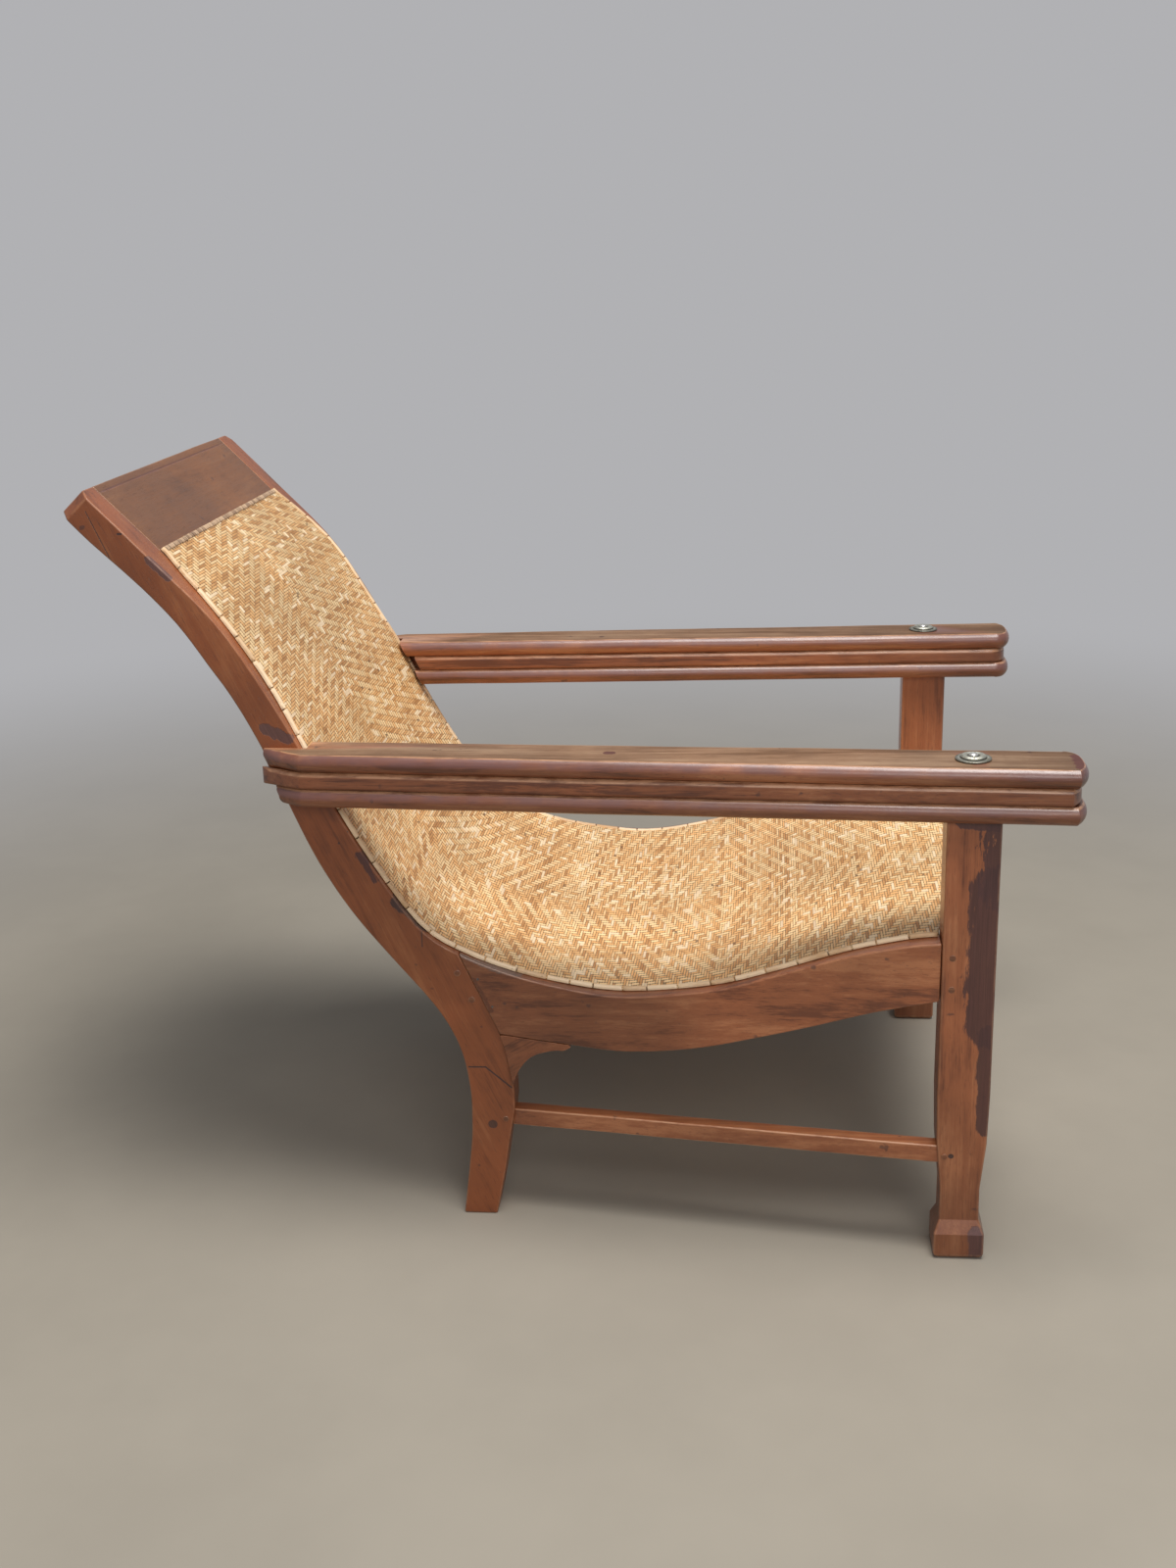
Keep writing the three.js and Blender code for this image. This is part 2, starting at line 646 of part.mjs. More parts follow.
function armEdge(front, rear, run) {
  const start = ARM_NOSE_BULGE - ARM_NOSE;
  return front + ((rear - front) * (run - start)) / (ARM_REAR_RUN - start);
}

function armPlank(inset, noseInset, edgeHeight, edgeDepth, thickness) {
  const outerAt = (run) => armEdge(ARM_OUTER_FRONT, ARM_OUTER_REAR, run) - inset;
  const innerAt = (run) => armEdge(ARM_INNER_FRONT, ARM_INNER_REAR, run) + inset;
  const tip = noseInset - ARM_NOSE;
  const shoulder = tip + ARM_NOSE_BULGE + ARM_NOSE_CORNER;
  const outline = new THREE.Shape();
  outline.moveTo(outerAt(REAR_RUN), REAR_RUN - MIDDLE_RUN);
  outline.lineTo(innerAt(REAR_RUN), REAR_RUN - MIDDLE_RUN);
  for (let i = 0; i <= NOSE_STEPS; i += 1) {
    const across = Math.cos((Math.PI * i) / NOSE_STEPS);
    const bow = Math.sqrt(1 - Math.abs(across) ** ARM_NOSE_POWER);
    const run = shoulder - bow * (shoulder - tip);
    const middle = (outerAt(run) + innerAt(run)) / 2;
    const half = (outerAt(run) - innerAt(run)) / 2;
    outline.lineTo(middle - across * half, run - MIDDLE_RUN);
  }
  return new THREE.ExtrudeGeometry(outline, {
    depth: thickness - edgeHeight * 2,
    bevelThickness: edgeHeight,
    bevelSize: edgeDepth,
    bevelOffset: -edgeDepth,
    bevelSegments: EDGE_STEPS,
  }).translate(0, 0, edgeHeight);
}

// The rounded cut at the arm's rear outer corner
function rearCornerCutter(inset) {
  const start = ARM_REAR_RUN - ARM_CORNER_LENGTH;
  const end = ARM_REAR_RUN + OVERRUN;
  const outer = armEdge(ARM_OUTER_FRONT, ARM_OUTER_REAR, start) - inset;
  const inner = STILE_OUTER + FIT;
  const [outShare, backShare] = ARM_CORNER_SHARES;
  const outline = new THREE.Shape();
  outline.moveTo(outer, start - MIDDLE_RUN);
  outline.quadraticCurveTo(
    inner + (outer - inner) * outShare,
    start + ARM_CORNER_LENGTH * backShare - MIDDLE_RUN,
    inner,
    ARM_REAR_RUN - MIDDLE_RUN,
  );
  outline.lineTo(inner, end - MIDDLE_RUN);
  outline.lineTo(outer + OVERRUN, end - MIDDLE_RUN);
  outline.lineTo(outer + OVERRUN, start - MIDDLE_RUN);
  return solid(new THREE.ExtrudeGeometry(outline, {
    depth: ARM_HEIGHT,
    bevelEnabled: false,
    curveSegments: CURVE_STEPS,
  }));
}

// What an arm leaves free for the stile and for the seat's edge in front of it
function stileNotch(gap, sideGap) {
  const front = besideSeatLine(0, KNEE, gap);
  const outline = [
    ...front,
    new THREE.Vector2(REAR_RUN + ARM_LAYER, front[front.length - 1].y),
    new THREE.Vector2(REAR_RUN + ARM_LAYER, front[0].y),
  ];
  return solid(prism(outline, 0, STILE_OUTER + sideGap));
}

// What lies behind the stile's sloping rear edge
function behindStile() {
  const rear = stretchOf(stileRear);
  const outline = [
    ...rear,
    new THREE.Vector2(REAR_RUN + ARM_LAYER, rear[rear.length - 1].y),
    new THREE.Vector2(REAR_RUN + ARM_LAYER, rear[0].y),
  ];
  return solid(prism(outline, 0, ARM_REACH));
}

function fixedArmPlank(bottom) {
  const plank = armPlank(0, 0, ARM_EDGE_HEIGHT, ARM_EDGE_DEPTH, ARM_LAYER);
  return geometryOf(cut(solid(plank.translate(0, 0, bottom)), [
    stileNotch(ARM_SEAT_GAP, FIT),
    behindStile(),
    rearCornerCutter(0),
    pivotHole(bottom - OVERRUN, bottom + ARM_LAYER + OVERRUN),
    ...screwPlaces().map(screwHole),
  ]));
}

function legRest() {
  const bottom = LEG_TOP + ARM_LAYER + RUNNING_GAP;
  const thickness = ARM_LAYER - RUNNING_GAP * 2;
  const plank = armPlank(REST_INSET, REST_NOSE_INSET, REST_EDGE, REST_EDGE, thickness);
  const beyond = box(0, ARM_REACH, ARM_REAR_RUN, REAR_RUN + ARM_LAYER, LEG_TOP, ARM_HEIGHT);
  return geometryOf(cut(solid(plank.translate(0, 0, bottom)), [
    solid(beyond),
    stileNotch(REST_SEAT_GAP, REST_SIDE_GAP),
    rearCornerCutter(REST_INSET),
    pivotHole(LEG_TOP, ARM_HEIGHT),
  ]));
}

// Turned pieces of the pivot, with heights measured from the armrest's top
function turned(points) {
  const profile = points.map(([radius, height]) => new THREE.Vector2(radius, height));
  return new THREE.LatheGeometry(profile, ROUND_SIDES).rotateX(Math.PI / 2);
}

const WASHER_TOP = FIT + WASHER_THICKNESS;
const CUP_BASE = WASHER_TOP + FIT;
const HEAD_BASE = CUP_BASE + CUP_HEIGHT * CUP_SEAT_SHARE + FIT;

function pivotBolt() {
  const bottom = LEG_TOP - ARM_HEIGHT - BOLT_REACH_IN_LEG;
  const points = [[0, bottom], [BOLT_RADIUS, bottom], [BOLT_RADIUS, HEAD_BASE]];
  for (let i = 0; i < HEAD_STEPS; i += 1) {
    const angle = (Math.PI / 2) * (i / HEAD_STEPS);
    points.push([BOLT_HEAD_RADIUS * Math.cos(angle), HEAD_BASE + BOLT_HEAD_HEIGHT * Math.sin(angle)]);
  }
  return turned([...points, [0, HEAD_BASE + BOLT_HEAD_HEIGHT]]);
}

function flatWasher() {
  const inner = BOLT_RADIUS + FIT;
  return turned([
    [inner, FIT], [WASHER_RADIUS, FIT], [WASHER_RADIUS, WASHER_TOP], [inner, WASHER_TOP], [inner, FIT],
  ]);
}

function cupWasher() {
  const inner = BOLT_RADIUS + FIT;
  const [outerShare, innerShare] = CUP_CROWN_SHARES;
  return turned([
    [inner, CUP_BASE],
    [CUP_RADIUS, CUP_BASE],
    [CUP_RADIUS, CUP_BASE + CUP_RIM],
    [CUP_RADIUS * outerShare, CUP_BASE + CUP_HEIGHT],
    [CUP_RADIUS * innerShare, CUP_BASE + CUP_HEIGHT],
    [inner, CUP_BASE + CUP_HEIGHT * CUP_SEAT_SHARE],
    [inner, CUP_BASE],
  ]);
}

// Front seat rail
const matFrontShare = seatShareAtRun(-MAT_FRONT);
const FRONT_RAIL_TOP = seatLine.getPoint(matFrontShare).y;
const FRONT_RAIL_REAR = FRONT_RAIL_THICKNESS - FRONT_RAIL_FACE;

function frontRailTenon(grow) {
  const reach = LEG_INNER + TENON_LENGTH + grow;
  const middle = (FRONT_RAIL_REAR - FRONT_RAIL_FACE) / 2;
  const half = TENON_THICKNESS / 2 + grow;
  const foot = FRONT_RAIL_TOP - FRONT_RAIL_HEIGHT + TENON_SHOULDER - grow;
  return box(-reach, reach, middle - half, middle + half, foot, FRONT_RAIL_TOP - TENON_SHOULDER + grow);
}

function frontSeatRail() {
  const foot = FRONT_RAIL_TOP - FRONT_RAIL_HEIGHT;
  const outline = [
    ...besideSeatLine(seatShareAtRun(FRONT_RAIL_REAR), seatShareAtRun(-FRONT_RAIL_FACE), 0),
    new THREE.Vector2(-FRONT_RAIL_FACE, foot),
    new THREE.Vector2(FRONT_RAIL_REAR, foot),
  ];
  const rail = solid(prism(outline, FIT - LEG_INNER, LEG_INNER - FIT));
  return geometryOf(rail.add(solid(frontRailTenon(0))));
}

// Seat: a woven sheet that lies on the stiles and rails and sags between them
const matTopShare = seatShareBelowCrest(MAT_TOP_DROP);
const lipCurve = new THREE.SplineCurve(
  LIP_SHARES.map(([run, lip]) => new THREE.Vector2(run * CREST_RUN, lip * MAT_LIP)),
);

function matHalfWidth(run) {
  if (run < LEG_REAR + MAT_LEG_GAP) return LEG_INNER - MAT_LEG_GAP;
  const lip = lipCurve.getPoint(shareWhere(lipCurve, runOf, run)).y;
  return STILE_OUTER + railOffset(run) - lip;
}

// Across the mat, its outer columns stand over the wood's two edges, and the rest sag between
function matColumn(run, column) {
  const edge = matHalfWidth(run);
  const inner = Math.min(STILE_INNER + railOffset(run) - MAT_BEND_GAP, edge - BINDING_WIDTH);
  if (Math.abs(column) === MAT_STEPS / 2) return Math.sign(column) * edge;
  return (inner * column) / (MAT_STEPS / 2 - 1);
}

function matSag(share, column) {
  const end = seatShareAtRun(FRONT_RAIL_REAR);
  const along = THREE.MathUtils.clamp((share - boardEnd) / (end - boardEnd), 0, 1);
  const across = Math.min(1, Math.abs(column) / (MAT_STEPS / 2 - 1));
  return MAT_SAG * Math.sin(Math.PI * along) * (1 - across ** 2);
}

function wovenPanel() {
  const places = [
    ...placesAlong(seatLine, matTopShare, seatShareAtRun(LEG_REAR + MAT_LEG_GAP + FIT)),
    ...placesAlong(seatLine, seatShareAtRun(LEG_REAR + MAT_LEG_GAP - FIT), matFrontShare),
  ];
  const rows = places.length - 1;
  const sheet = new THREE.BoxGeometry(1, 1, 1, MAT_STEPS, rows, 1);
  const position = sheet.attributes.position;
  for (let i = 0; i < position.count; i += 1) {
    const share = places[Math.round((1 / 2 - position.getY(i)) * rows)];
    const column = Math.round(position.getX(i) * MAT_STEPS);
    const out = FIT + (position.getZ(i) + 1 / 2) * MAT_THICKNESS - matSag(share, column);
    const point = besideSeat(share, out);
    const across = matColumn(seatLine.getPoint(share).x, column);
    position.setXYZ(i, across, point.x - MIDDLE_RUN, point.y);
  }
  return sheet;
}

const BINDING_NEAR = FIT + MAT_THICKNESS + FIT;
const BINDING_FAR = BINDING_NEAR + BINDING_THICKNESS;

function sideBinding() {
  const end = seatShareAtRun(LEG_REAR + MAT_LEG_GAP + FIT);
  const outline = seatBand(matTopShare, end, BINDING_NEAR, BINDING_FAR);
  return splay(prism(outline, -BINDING_WIDTH - BINDING_INSET, -BINDING_INSET), matHalfWidth);
}

function topBinding() {
  const end = seatShareBelowCrest(MAT_TOP_DROP + BINDING_WIDTH);
  const outer = matHalfWidth(seatLine.getPoint(matTopShare).x);
  const half = outer - BINDING_WIDTH - BINDING_INSET - FIT;
  return prism(seatBand(matTopShare, end, BINDING_NEAR, BINDING_FAR), -half, half);
}

function frontBinding() {
  const start = seatShareAtRun(BINDING_WIDTH - MAT_FRONT);
  const half = LEG_INNER - MAT_LEG_GAP - BINDING_INSET;
  return prism(seatBand(start, matFrontShare, BINDING_NEAR, BINDING_FAR), -half, half);
}

// Pegs, nails and screws lie along x, with their heads or ends outward
function lyingAcross(points) {
  const profile = points.map(([radius, height]) => new THREE.Vector2(radius, height));
  return new THREE.LatheGeometry(profile, SMALL_ROUND_SIDES).rotateZ(-Math.PI / 2);
}

function peg(radius, length) {
  return lyingAcross([[0, 0], [radius, 0], [radius, length], [0, length]]);
}

function nail() {
  const neck = NAIL_LENGTH - NAIL_HEAD_HEIGHT;
  return lyingAcross([
    [0, 0], [NAIL_RADIUS, 0], [NAIL_RADIUS, neck],
    [NAIL_HEAD_RADIUS, neck], [NAIL_HEAD_RADIUS, NAIL_LENGTH], [0, NAIL_LENGTH],
  ]);
}

function armScrew() {
  const length = STILE_THICKNESS + SCREW_BITE;
  return lyingAcross([
    [0, 0], [SCREW_HEAD_RADIUS, 0], [SCREW_RADIUS, SCREW_HEAD_HEIGHT],
    [SCREW_RADIUS, length - SCREW_RADIUS * 2], [0, length],
  ]);
}

const chair = new THREE.Group();

function addMesh(name, geometry, material, position = [0, 0, 0]) {
  const mesh = new THREE.Mesh(geometry, material);
  mesh.name = name;
  mesh.position.set(...position);
  chair.add(mesh);
}

// One side, modelled for +X and mirrored for -X
function addSide(side, sign) {
  const shaped = (geometry) => (sign > 0 ? geometry : mirrored(geometry));
  const add = (name, geometry, material) => addMesh(`${side}_${name}`, shaped(geometry), material);
  const addAt = (name, geometry, material, x, run, z) => addMesh(
    `${side}_${name}`, shaped(geometry), material, [sign * x, run - MIDDLE_RUN, z],
  );
  add("stile", stile(), wood);
  add("side_rail", sideRail(), wood);
  add("knee_bracket", kneeBracket(), wood);
  add("front_leg", frontLeg(), wood);
  add("side_stretcher", sideStretcher(), wood);
  add("armrest", fixedArmPlank(ARM_HEIGHT - ARM_LAYER), wood);
  add("leg_rest", legRest(), wood);
  add("lower_arm_rail", fixedArmPlank(LEG_TOP), wood);
  addAt("pivot_bolt", pivotBolt(), steel, PIVOT_SIDE, 0, ARM_HEIGHT);
  addAt("flat_washer", flatWasher(), steel, PIVOT_SIDE, 0, ARM_HEIGHT);
  addAt("cup_washer", cupWasher(), steel, PIVOT_SIDE, 0, ARM_HEIGHT);
  add("edge_binding", sideBinding(), rattan);
  const pegLength = PEG_LENGTH - FIT;
  const smallPegLength = SMALL_PEG_LENGTH - FIT;
  const addPeg = (name, radius, length, outer, run, z) => addAt(
    name, peg(radius, length), darkWood, outer + PEG_PROUD - length, run, z,
  );
  stilePegPlaces().forEach((place, i) => addPeg(
    `stile_peg_${i + 1}`, PEG_RADIUS, pegLength, STILE_OUTER, place.x, place.y,
  ));
  legPegHeights().forEach((height, i) => addPeg(
    `leg_peg_${i + 1}`, PEG_RADIUS, pegLength, LEG_OUTER, LEG_PEG_RUN, height,
  ));
  stretcherPegs().forEach(({ outer, run }, i) => addPeg(
    `stretcher_peg_${i + 1}`, SMALL_PEG_RADIUS, smallPegLength, outer, run, STRETCHER_MIDDLE,
  ));
  nailPlaces().forEach((place, i) => {
    const face = STILE_OUTER + railOffset(place.x);
    addAt(`rail_nail_${i + 1}`, nail(), steel, face - NAIL_LENGTH, place.x, place.y);
  });
  screwPlaces().forEach((place, i) => {
    addAt(`arm_screw_${i + 1}`, armScrew(), steel, STILE_INNER, place.x, place.y);
  });
}

addSide("left", 1);
addSide("right", -1);
addMesh("crest_board", crestBoard(), wood);
addMesh("front_seat_rail", frontSeatRail(), wood);
addMesh("back_cross_rail", backCrossRail(), wood);
addMesh("woven_panel", wovenPanel(), cane);
addMesh("top_binding", topBinding(), rattan);
addMesh("front_binding", frontBinding(), rattan);

export default chair;
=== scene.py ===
"""Looks of the planters chair: worn teak, a woven cane seat and steel pivots.

Metres, +Z up, the sitter faces -Y. Side pieces are built for +X and mirrored for -X.
"""
import math

import bmesh
import bpy
import numpy as np
from mathutils import Matrix, Vector, noise


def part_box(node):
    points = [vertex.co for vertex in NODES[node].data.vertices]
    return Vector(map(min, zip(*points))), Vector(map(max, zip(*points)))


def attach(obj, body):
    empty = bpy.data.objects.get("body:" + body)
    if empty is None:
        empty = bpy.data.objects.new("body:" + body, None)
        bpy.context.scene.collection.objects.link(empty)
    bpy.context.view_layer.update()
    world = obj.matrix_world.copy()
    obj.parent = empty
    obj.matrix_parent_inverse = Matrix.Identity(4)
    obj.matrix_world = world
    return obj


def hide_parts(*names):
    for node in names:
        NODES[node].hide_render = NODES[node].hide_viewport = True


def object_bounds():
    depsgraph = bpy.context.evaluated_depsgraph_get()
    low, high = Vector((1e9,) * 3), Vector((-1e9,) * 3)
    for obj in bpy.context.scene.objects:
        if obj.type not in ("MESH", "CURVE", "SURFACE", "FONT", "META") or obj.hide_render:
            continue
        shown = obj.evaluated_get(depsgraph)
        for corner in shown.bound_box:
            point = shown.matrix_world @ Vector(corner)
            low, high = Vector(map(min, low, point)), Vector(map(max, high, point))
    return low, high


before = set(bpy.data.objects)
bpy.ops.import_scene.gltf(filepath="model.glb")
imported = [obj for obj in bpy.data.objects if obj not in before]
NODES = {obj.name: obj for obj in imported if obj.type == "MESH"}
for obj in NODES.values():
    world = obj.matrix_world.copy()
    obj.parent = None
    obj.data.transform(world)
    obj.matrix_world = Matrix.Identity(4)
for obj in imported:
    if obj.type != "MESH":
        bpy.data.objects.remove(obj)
cad_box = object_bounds()
BODY = "chair_frame"
SIGNS = {"left": 1, "right": -1}
JOIN = 1e-6  # corners nearer than this are one
TINY = 1e-5  # radius of a turned piece's closed end

# Camera, for a picture of 1200 by 1600 pixels
IMAGE_HEIGHT = 1600
FOCAL_PIXELS = 1800
SENSOR = 36
CAMERA_PLACE = (-2.1125, -0.2119, 1.1193)
CAMERA_YAW = 0.1045
CAMERA_PITCH = 0.3040
CAMERA_ROLL = -0.02815

# Sawn wood
ARRIS = 0.0022  # rounding of sawn edges
ARRIS_STEPS = 3
SIDE_STEPS = 4
STATION = 0.013  # between the sections of a curved plank
BEVEL_ANGLE = 40
SHARP_ANGLE = 33
SOFT_ARRIS = (2, 45)  # steps and least angle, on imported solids
WOBBLE = 0.0004  # hand-made unevenness
WOBBLE_SCALE = 13
WOBBLE_SEED = 1
noise.seed_set(WOBBLE_SEED)  # or else vector noise differs from run to run
INSIDE = 0.0004  # how far inside a face its extent is measured
RAIL_THICKNESS = 0.038
BRACKET_THICKNESS = 0.034
BRACKET_SECTIONS = 26
THINNEST = 0.0015  # of the bracket's sections
BACK_SHARE = 0.62  # of the stile's sections, above the knee
KNEE_SHARE = 0.4  # of the rail's length, beside the knee
JOINT_SLOPE = 0.6  # of the direction in which the rail's rear foot is furthest
END_BAND = 0.0015  # within which a point is on the rail's front end
FLOOR_BAND = 1e-4
TOP_CHAMFER = 0.010
BOARD_THICKNESS = 0.020
BOARD_ROWS, BOARD_COLUMNS = 12, 41
BOARD_LENGTHS = np.arange(0.10, 0.16, 0.0005)  # tried in turn
BOARD_END = 0.007  # above the board's lowest corner
BOARD_GAP = 0.0002
BETWEEN = (0.33, 0.66)  # shares at which a narrow side has points
BEAD_DROP = 0.010  # crest to the scribed line on the crest board
BEAD_DEPTH = 0.0011
BEAD_WIDTH = 0.0011
BEAD_ROWS = np.array([-1.6, -0.8, 0, 0.8, 1.6])
BEAD_MARGIN = 0.004
LEG_ROUNDING = (ARRIS * 1.15, 5, 28)  # radius, steps, least angle
LEG_SHARP_ANGLE = 24
FOOT_LEVELS = (0.004, 0.031, 0.046, 0.085, 0.1425, 0.2, 0.3, 0.41)
STRETCHER_MARGIN = 0.03
STRETCHER_SECTIONS = 24
IN_LEG, IN_STILE = 0.006, 0.016  # where the stretcher's visible length ends

# Arms
ARM_EDGE = ((0.0066, 0.0097, 50), (0.0066, 0.0097, 50))  # lower, upper: across, up, turn
REST_EDGE = ((0.0036, 0.0040, 84), (0.0046, 0.0060, 72))
ARM_SHARP_ANGLE = 24
ARM_GLOSS = 0.42
EDGE_STEPS = 6
RIM = 0.0007
NOSE_DEPTH = 0.021  # how far behind the tip the inner side starts
NOSE_CORNER = 0.0125  # and the outer corner
NOSE_POWER = 3
CORNER_POWER = 2.6
NOSE_STEPS = 28
NOSE_ROUNDING = 0.7
CORNER_LENGTH = 0.052
CORNER_SHARES = (0.7, 0.45)
CORNER_STEPS = 12
EDGE_STATIONS = 56
END_STATIONS = 8
NOSE_REACH = 0.04
ARM_SECTIONS = (-0.40, 0.15)  # y at which the arm's width is measured
ARM_LEVELS = (0.3, 0.7)  # shares of its height at which its rear end is measured
CORNER_FADE = 2.5
ARM_REAR = 0.03  # from the arm's end, where its stile side is measured
REAR_PROUD = 0.002
HOLE_RADIUS = 0.0043
HOLE_SIDES = 32
CLEAR = 0.01
FLAT_RISE = 0.93  # the normal's rise from which a face counts as the top
# Bands of worn edge, with a painted highlight
WORN_AND_LIT_BANDS = {"armrest": 0, "leg_rest": 0.0045, "lower_arm_rail": 0.0024}  # below the top

# Metal and pegs: radius and height
FLAT_WASHER = [
    (0.0043, 0.0003), (0.0184, 0.0003), (0.019, 0.0008), (0.019, 0.0017), (0.0186, 0.0021),
    (0.0178, 0.0023), (0.0150, 0.0023), (0.0100, 0.0023), (0.0043, 0.0023), (0.0043, 0.0003),
]
CUP_WASHER = [
    (0.0043, 0.0026), (0.0140, 0.0026), (0.0142, 0.0029), (0.0141, 0.0034), (0.0131, 0.0043),
    (0.0119, 0.0052), (0.0108, 0.0056), (0.0096, 0.0056), (0.0086, 0.0053), (0.0076, 0.0046),
    (0.0062, 0.0043), (0.0043, 0.0042), (0.0043, 0.0026),
]
BOLT = [(0.0, -0.115), (0.0035, -0.115), (0.004, -0.1145), (0.004, 0.0044), (0.0047, 0.0045)]
HEAD_BASE = 0.0045
HEAD_RIM = 0.0004
HEAD_RADIUS = 0.005
HEAD_STEPS = 5
TURNED_SHARP_ANGLE = 38
TURNED_SIDES, PIN_SIDES = 64, 32
WASHER_RIM = 0.0177  # beyond it the flat washer is painted dark, as painted shade
CUP_BRIGHT = (0.0066, 0.0138)  # between them the cup washer is left bright; elsewhere it is painted dark, as painted shade
WEAR_HIGHLIGHT_FROM = 26.8  # turn of a surface, in degrees, from which its edge looks worn and takes a painted highlight
WEAR_HIGHLIGHT_RANGE = 3

# Seat
STRIP = 0.0031  # pitch down the seat of the strips that run across it
LONG_STRIP = 0.0074  # pitch across the seat of the strips that run down it
FLOAT = 3  # crossings under one float
WEAVE_CENTRE = 0.967  # along the mat from its top edge, where the diamonds meet
MAT_BASE = 0.0003  # underside above the wood
MAT_FACE = 0.0028  # mean height of the upper face
RELIEF = 0.0011
MAT_SAG = 0.014
MAT_TOP_DROP = 0.099
MAT_EDGE_OUT = 0.001  # mat's edge outside the binding's
MAT_WAVE = 0.0016
SAG_START = 0.128
LEG_GAP = 0.0015
SEAT_SAMPLES = 1400
RAIL_TOP_BAND = 0.006
SMOOTHING = 31
WAVE_HALF, WAVE_LENGTH = 0.32, 1.25
WAVE_COLUMNS, WAVE_ROWS = 33, 60
JOINT_HEIGHT, CROSSING_HEIGHT, HOLE_HEIGHT = 0.9, 0.34, 0.04

# Bindings
BINDING_GAP = 0.0009
BINDING_BASE = 0.0028
BINDING_TOP = 0.0047
SEGMENT_RANGE = (0.026, 0.040)
SHORT_SEGMENTS = (0.0045, 0.011)
CROSS_WIDTH = 0.0066
EDGE_WIDTH = 0.007
EDGE_INSET = 0.0026
EDGE_BASE = 0.0009
STRIP_END = 0.0006
EDGE_STEP, CROSS_STEP = 0.004, 0.002
CROSS_SHIFT = 0.0003
STRIP_SHAPE = (
    (-0.5, 0), (-0.48, 0.55), (-0.36, 0.9), (-0.15, 1), (0.15, 1), (0.36, 0.9), (0.48, 0.55), (0.5, 0),
)
STRIP_SHARP_ANGLE = 50

# Room
FLOOR_COLOUR = (0.355, 0.318, 0.265)
FAR_COLOUR = (0.440, 0.440, 0.455)
SKY_COLOUR = (0.86, 0.93, 1.0)
SKY_LIGHT = 0.22
FLOOR_RINGS = (0.5, 1.0, 2.0, 4.0, 14)
FLOOR_SIDES = 64
FADE_START = 0.9
FADE_END = 3.2


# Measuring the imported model

def merged(node):
    """The node's mesh with its corners joined."""
    bm = bmesh.new()
    bm.from_mesh(NODES[node].data)
    bmesh.ops.remove_doubles(bm, verts=bm.verts, dist=JOIN)
    return bm


def cut_points(node, axis, value):
    """Where the node's edges cross the plane axis = value."""
    bm = merged(node)
    found = []
    for edge in bm.edges:
        a, b = (vertex.co for vertex in edge.verts)
        if (a[axis] - value) * (b[axis] - value) < 0:
            found.append(list(a.lerp(b, (value - a[axis]) / (b[axis] - a[axis]))))
    bm.free()
    return np.array(found)


def extent(node, axis, value):
    """Lowest and highest corner of the node's section at the plane axis = value."""
    points = cut_points(node, axis, value)
    return points.min(0), points.max(0)


def rim_loop(node, towards, least=0.9):
    """The longest rim of the faces that look along a direction, as points in order."""
    bm = merged(node)
    chosen = {f for f in bm.faces if f.normal.dot(Vector(towards)) > least}
    beside = {}
    for edge in bm.edges:
        if sum(f in chosen for f in edge.link_faces) == 1:
            a, b = edge.verts
            beside.setdefault(a, []).append(b)
            beside.setdefault(b, []).append(a)
    loops, seen = [], set()
    for start in list(beside):
        here, loop = start, []
        while here is not None and here not in seen:
            seen.add(here)
            loop.append(list(here.co))
            here = next((v for v in beside[here] if v not in seen), None)
        if loop:
            loops.append(np.array(loop))
    bm.free()
    return max(loops, key=lambda p: np.linalg.norm(np.diff(p, axis=0), axis=1).sum())


def middle(node):
    return [(low + high) / 2 for low, high in zip(*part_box(node))]


def nearest(points, target):
    return int(np.argmin(np.linalg.norm(points - np.array(target), axis=1)))


def furthest(points, y, z):
    """The point furthest along a direction of (y, z)."""
    return points[np.argmax(points @ (y, z))]


def between(loop, start, end, avoid):
    """The way round a closed loop from one point to another that misses a third."""
    a, b, c = (nearest(loop, p) for p in (start, end, avoid))
    count = len(loop)
    forward = [(a + i) % count for i in range((b - a) % count + 1)]
    backward = [(a - i) % count for i in range((a - b) % count + 1)]
    return loop[backward if c in forward[1:-1] else forward]


def lengths_of(points):
    return np.concatenate([[0], np.cumsum(np.linalg.norm(np.diff(points, axis=0), axis=1))])


def at_lengths(points, where):
    along = lengths_of(points)
    return np.stack([np.interp(where, along, points[:, k]) for k in range(points.shape[1])], 1)


def evenly(points, count):
    return at_lengths(points, np.linspace(0, lengths_of(points)[-1], count))


def across_from(front, rear):
    """For each point of one edge of a plank, the point of the other edge across from it."""
    fine = evenly(rear, 1200)
    places = np.array([nearest(fine, p) for p in front], float)
    places = np.maximum.accumulate(places)
    places[0], places[-1] = 0, len(fine) - 1
    for _ in range(4):
        places[1:-1] = (places[:-2] + places[1:-1] * 2 + places[2:]) / 4
    return fine[np.round(places).astype(int)]


# Meshes

def link(name, data):
    made = bpy.data.objects.new(name, data)
    bpy.context.scene.collection.objects.link(made)
    return made


def mesh_object(name, bm):
    mesh = bpy.data.meshes.new(name)
    bm.to_mesh(mesh)
    bm.free()
    return link(name, mesh)


def skin(rings, sign=1):
    """A closed bmesh through rings of equal count."""
    bm = bmesh.new()
    rows = [[bm.verts.new((x * sign, y, z)) for x, y, z in ring] for ring in rings]
    for a, b in zip(rows, rows[1:]):
        for k in range(len(a)):
            m = (k + 1) % len(a)
            bm.faces.new((a[k], a[m], b[m], b[k]))
    bm.faces.new(rows[0][::-1])
    bm.faces.new(rows[-1])
    bmesh.ops.remove_doubles(bm, verts=bm.verts, dist=JOIN)
    bmesh.ops.recalc_face_normals(bm, faces=bm.faces)
    return bm


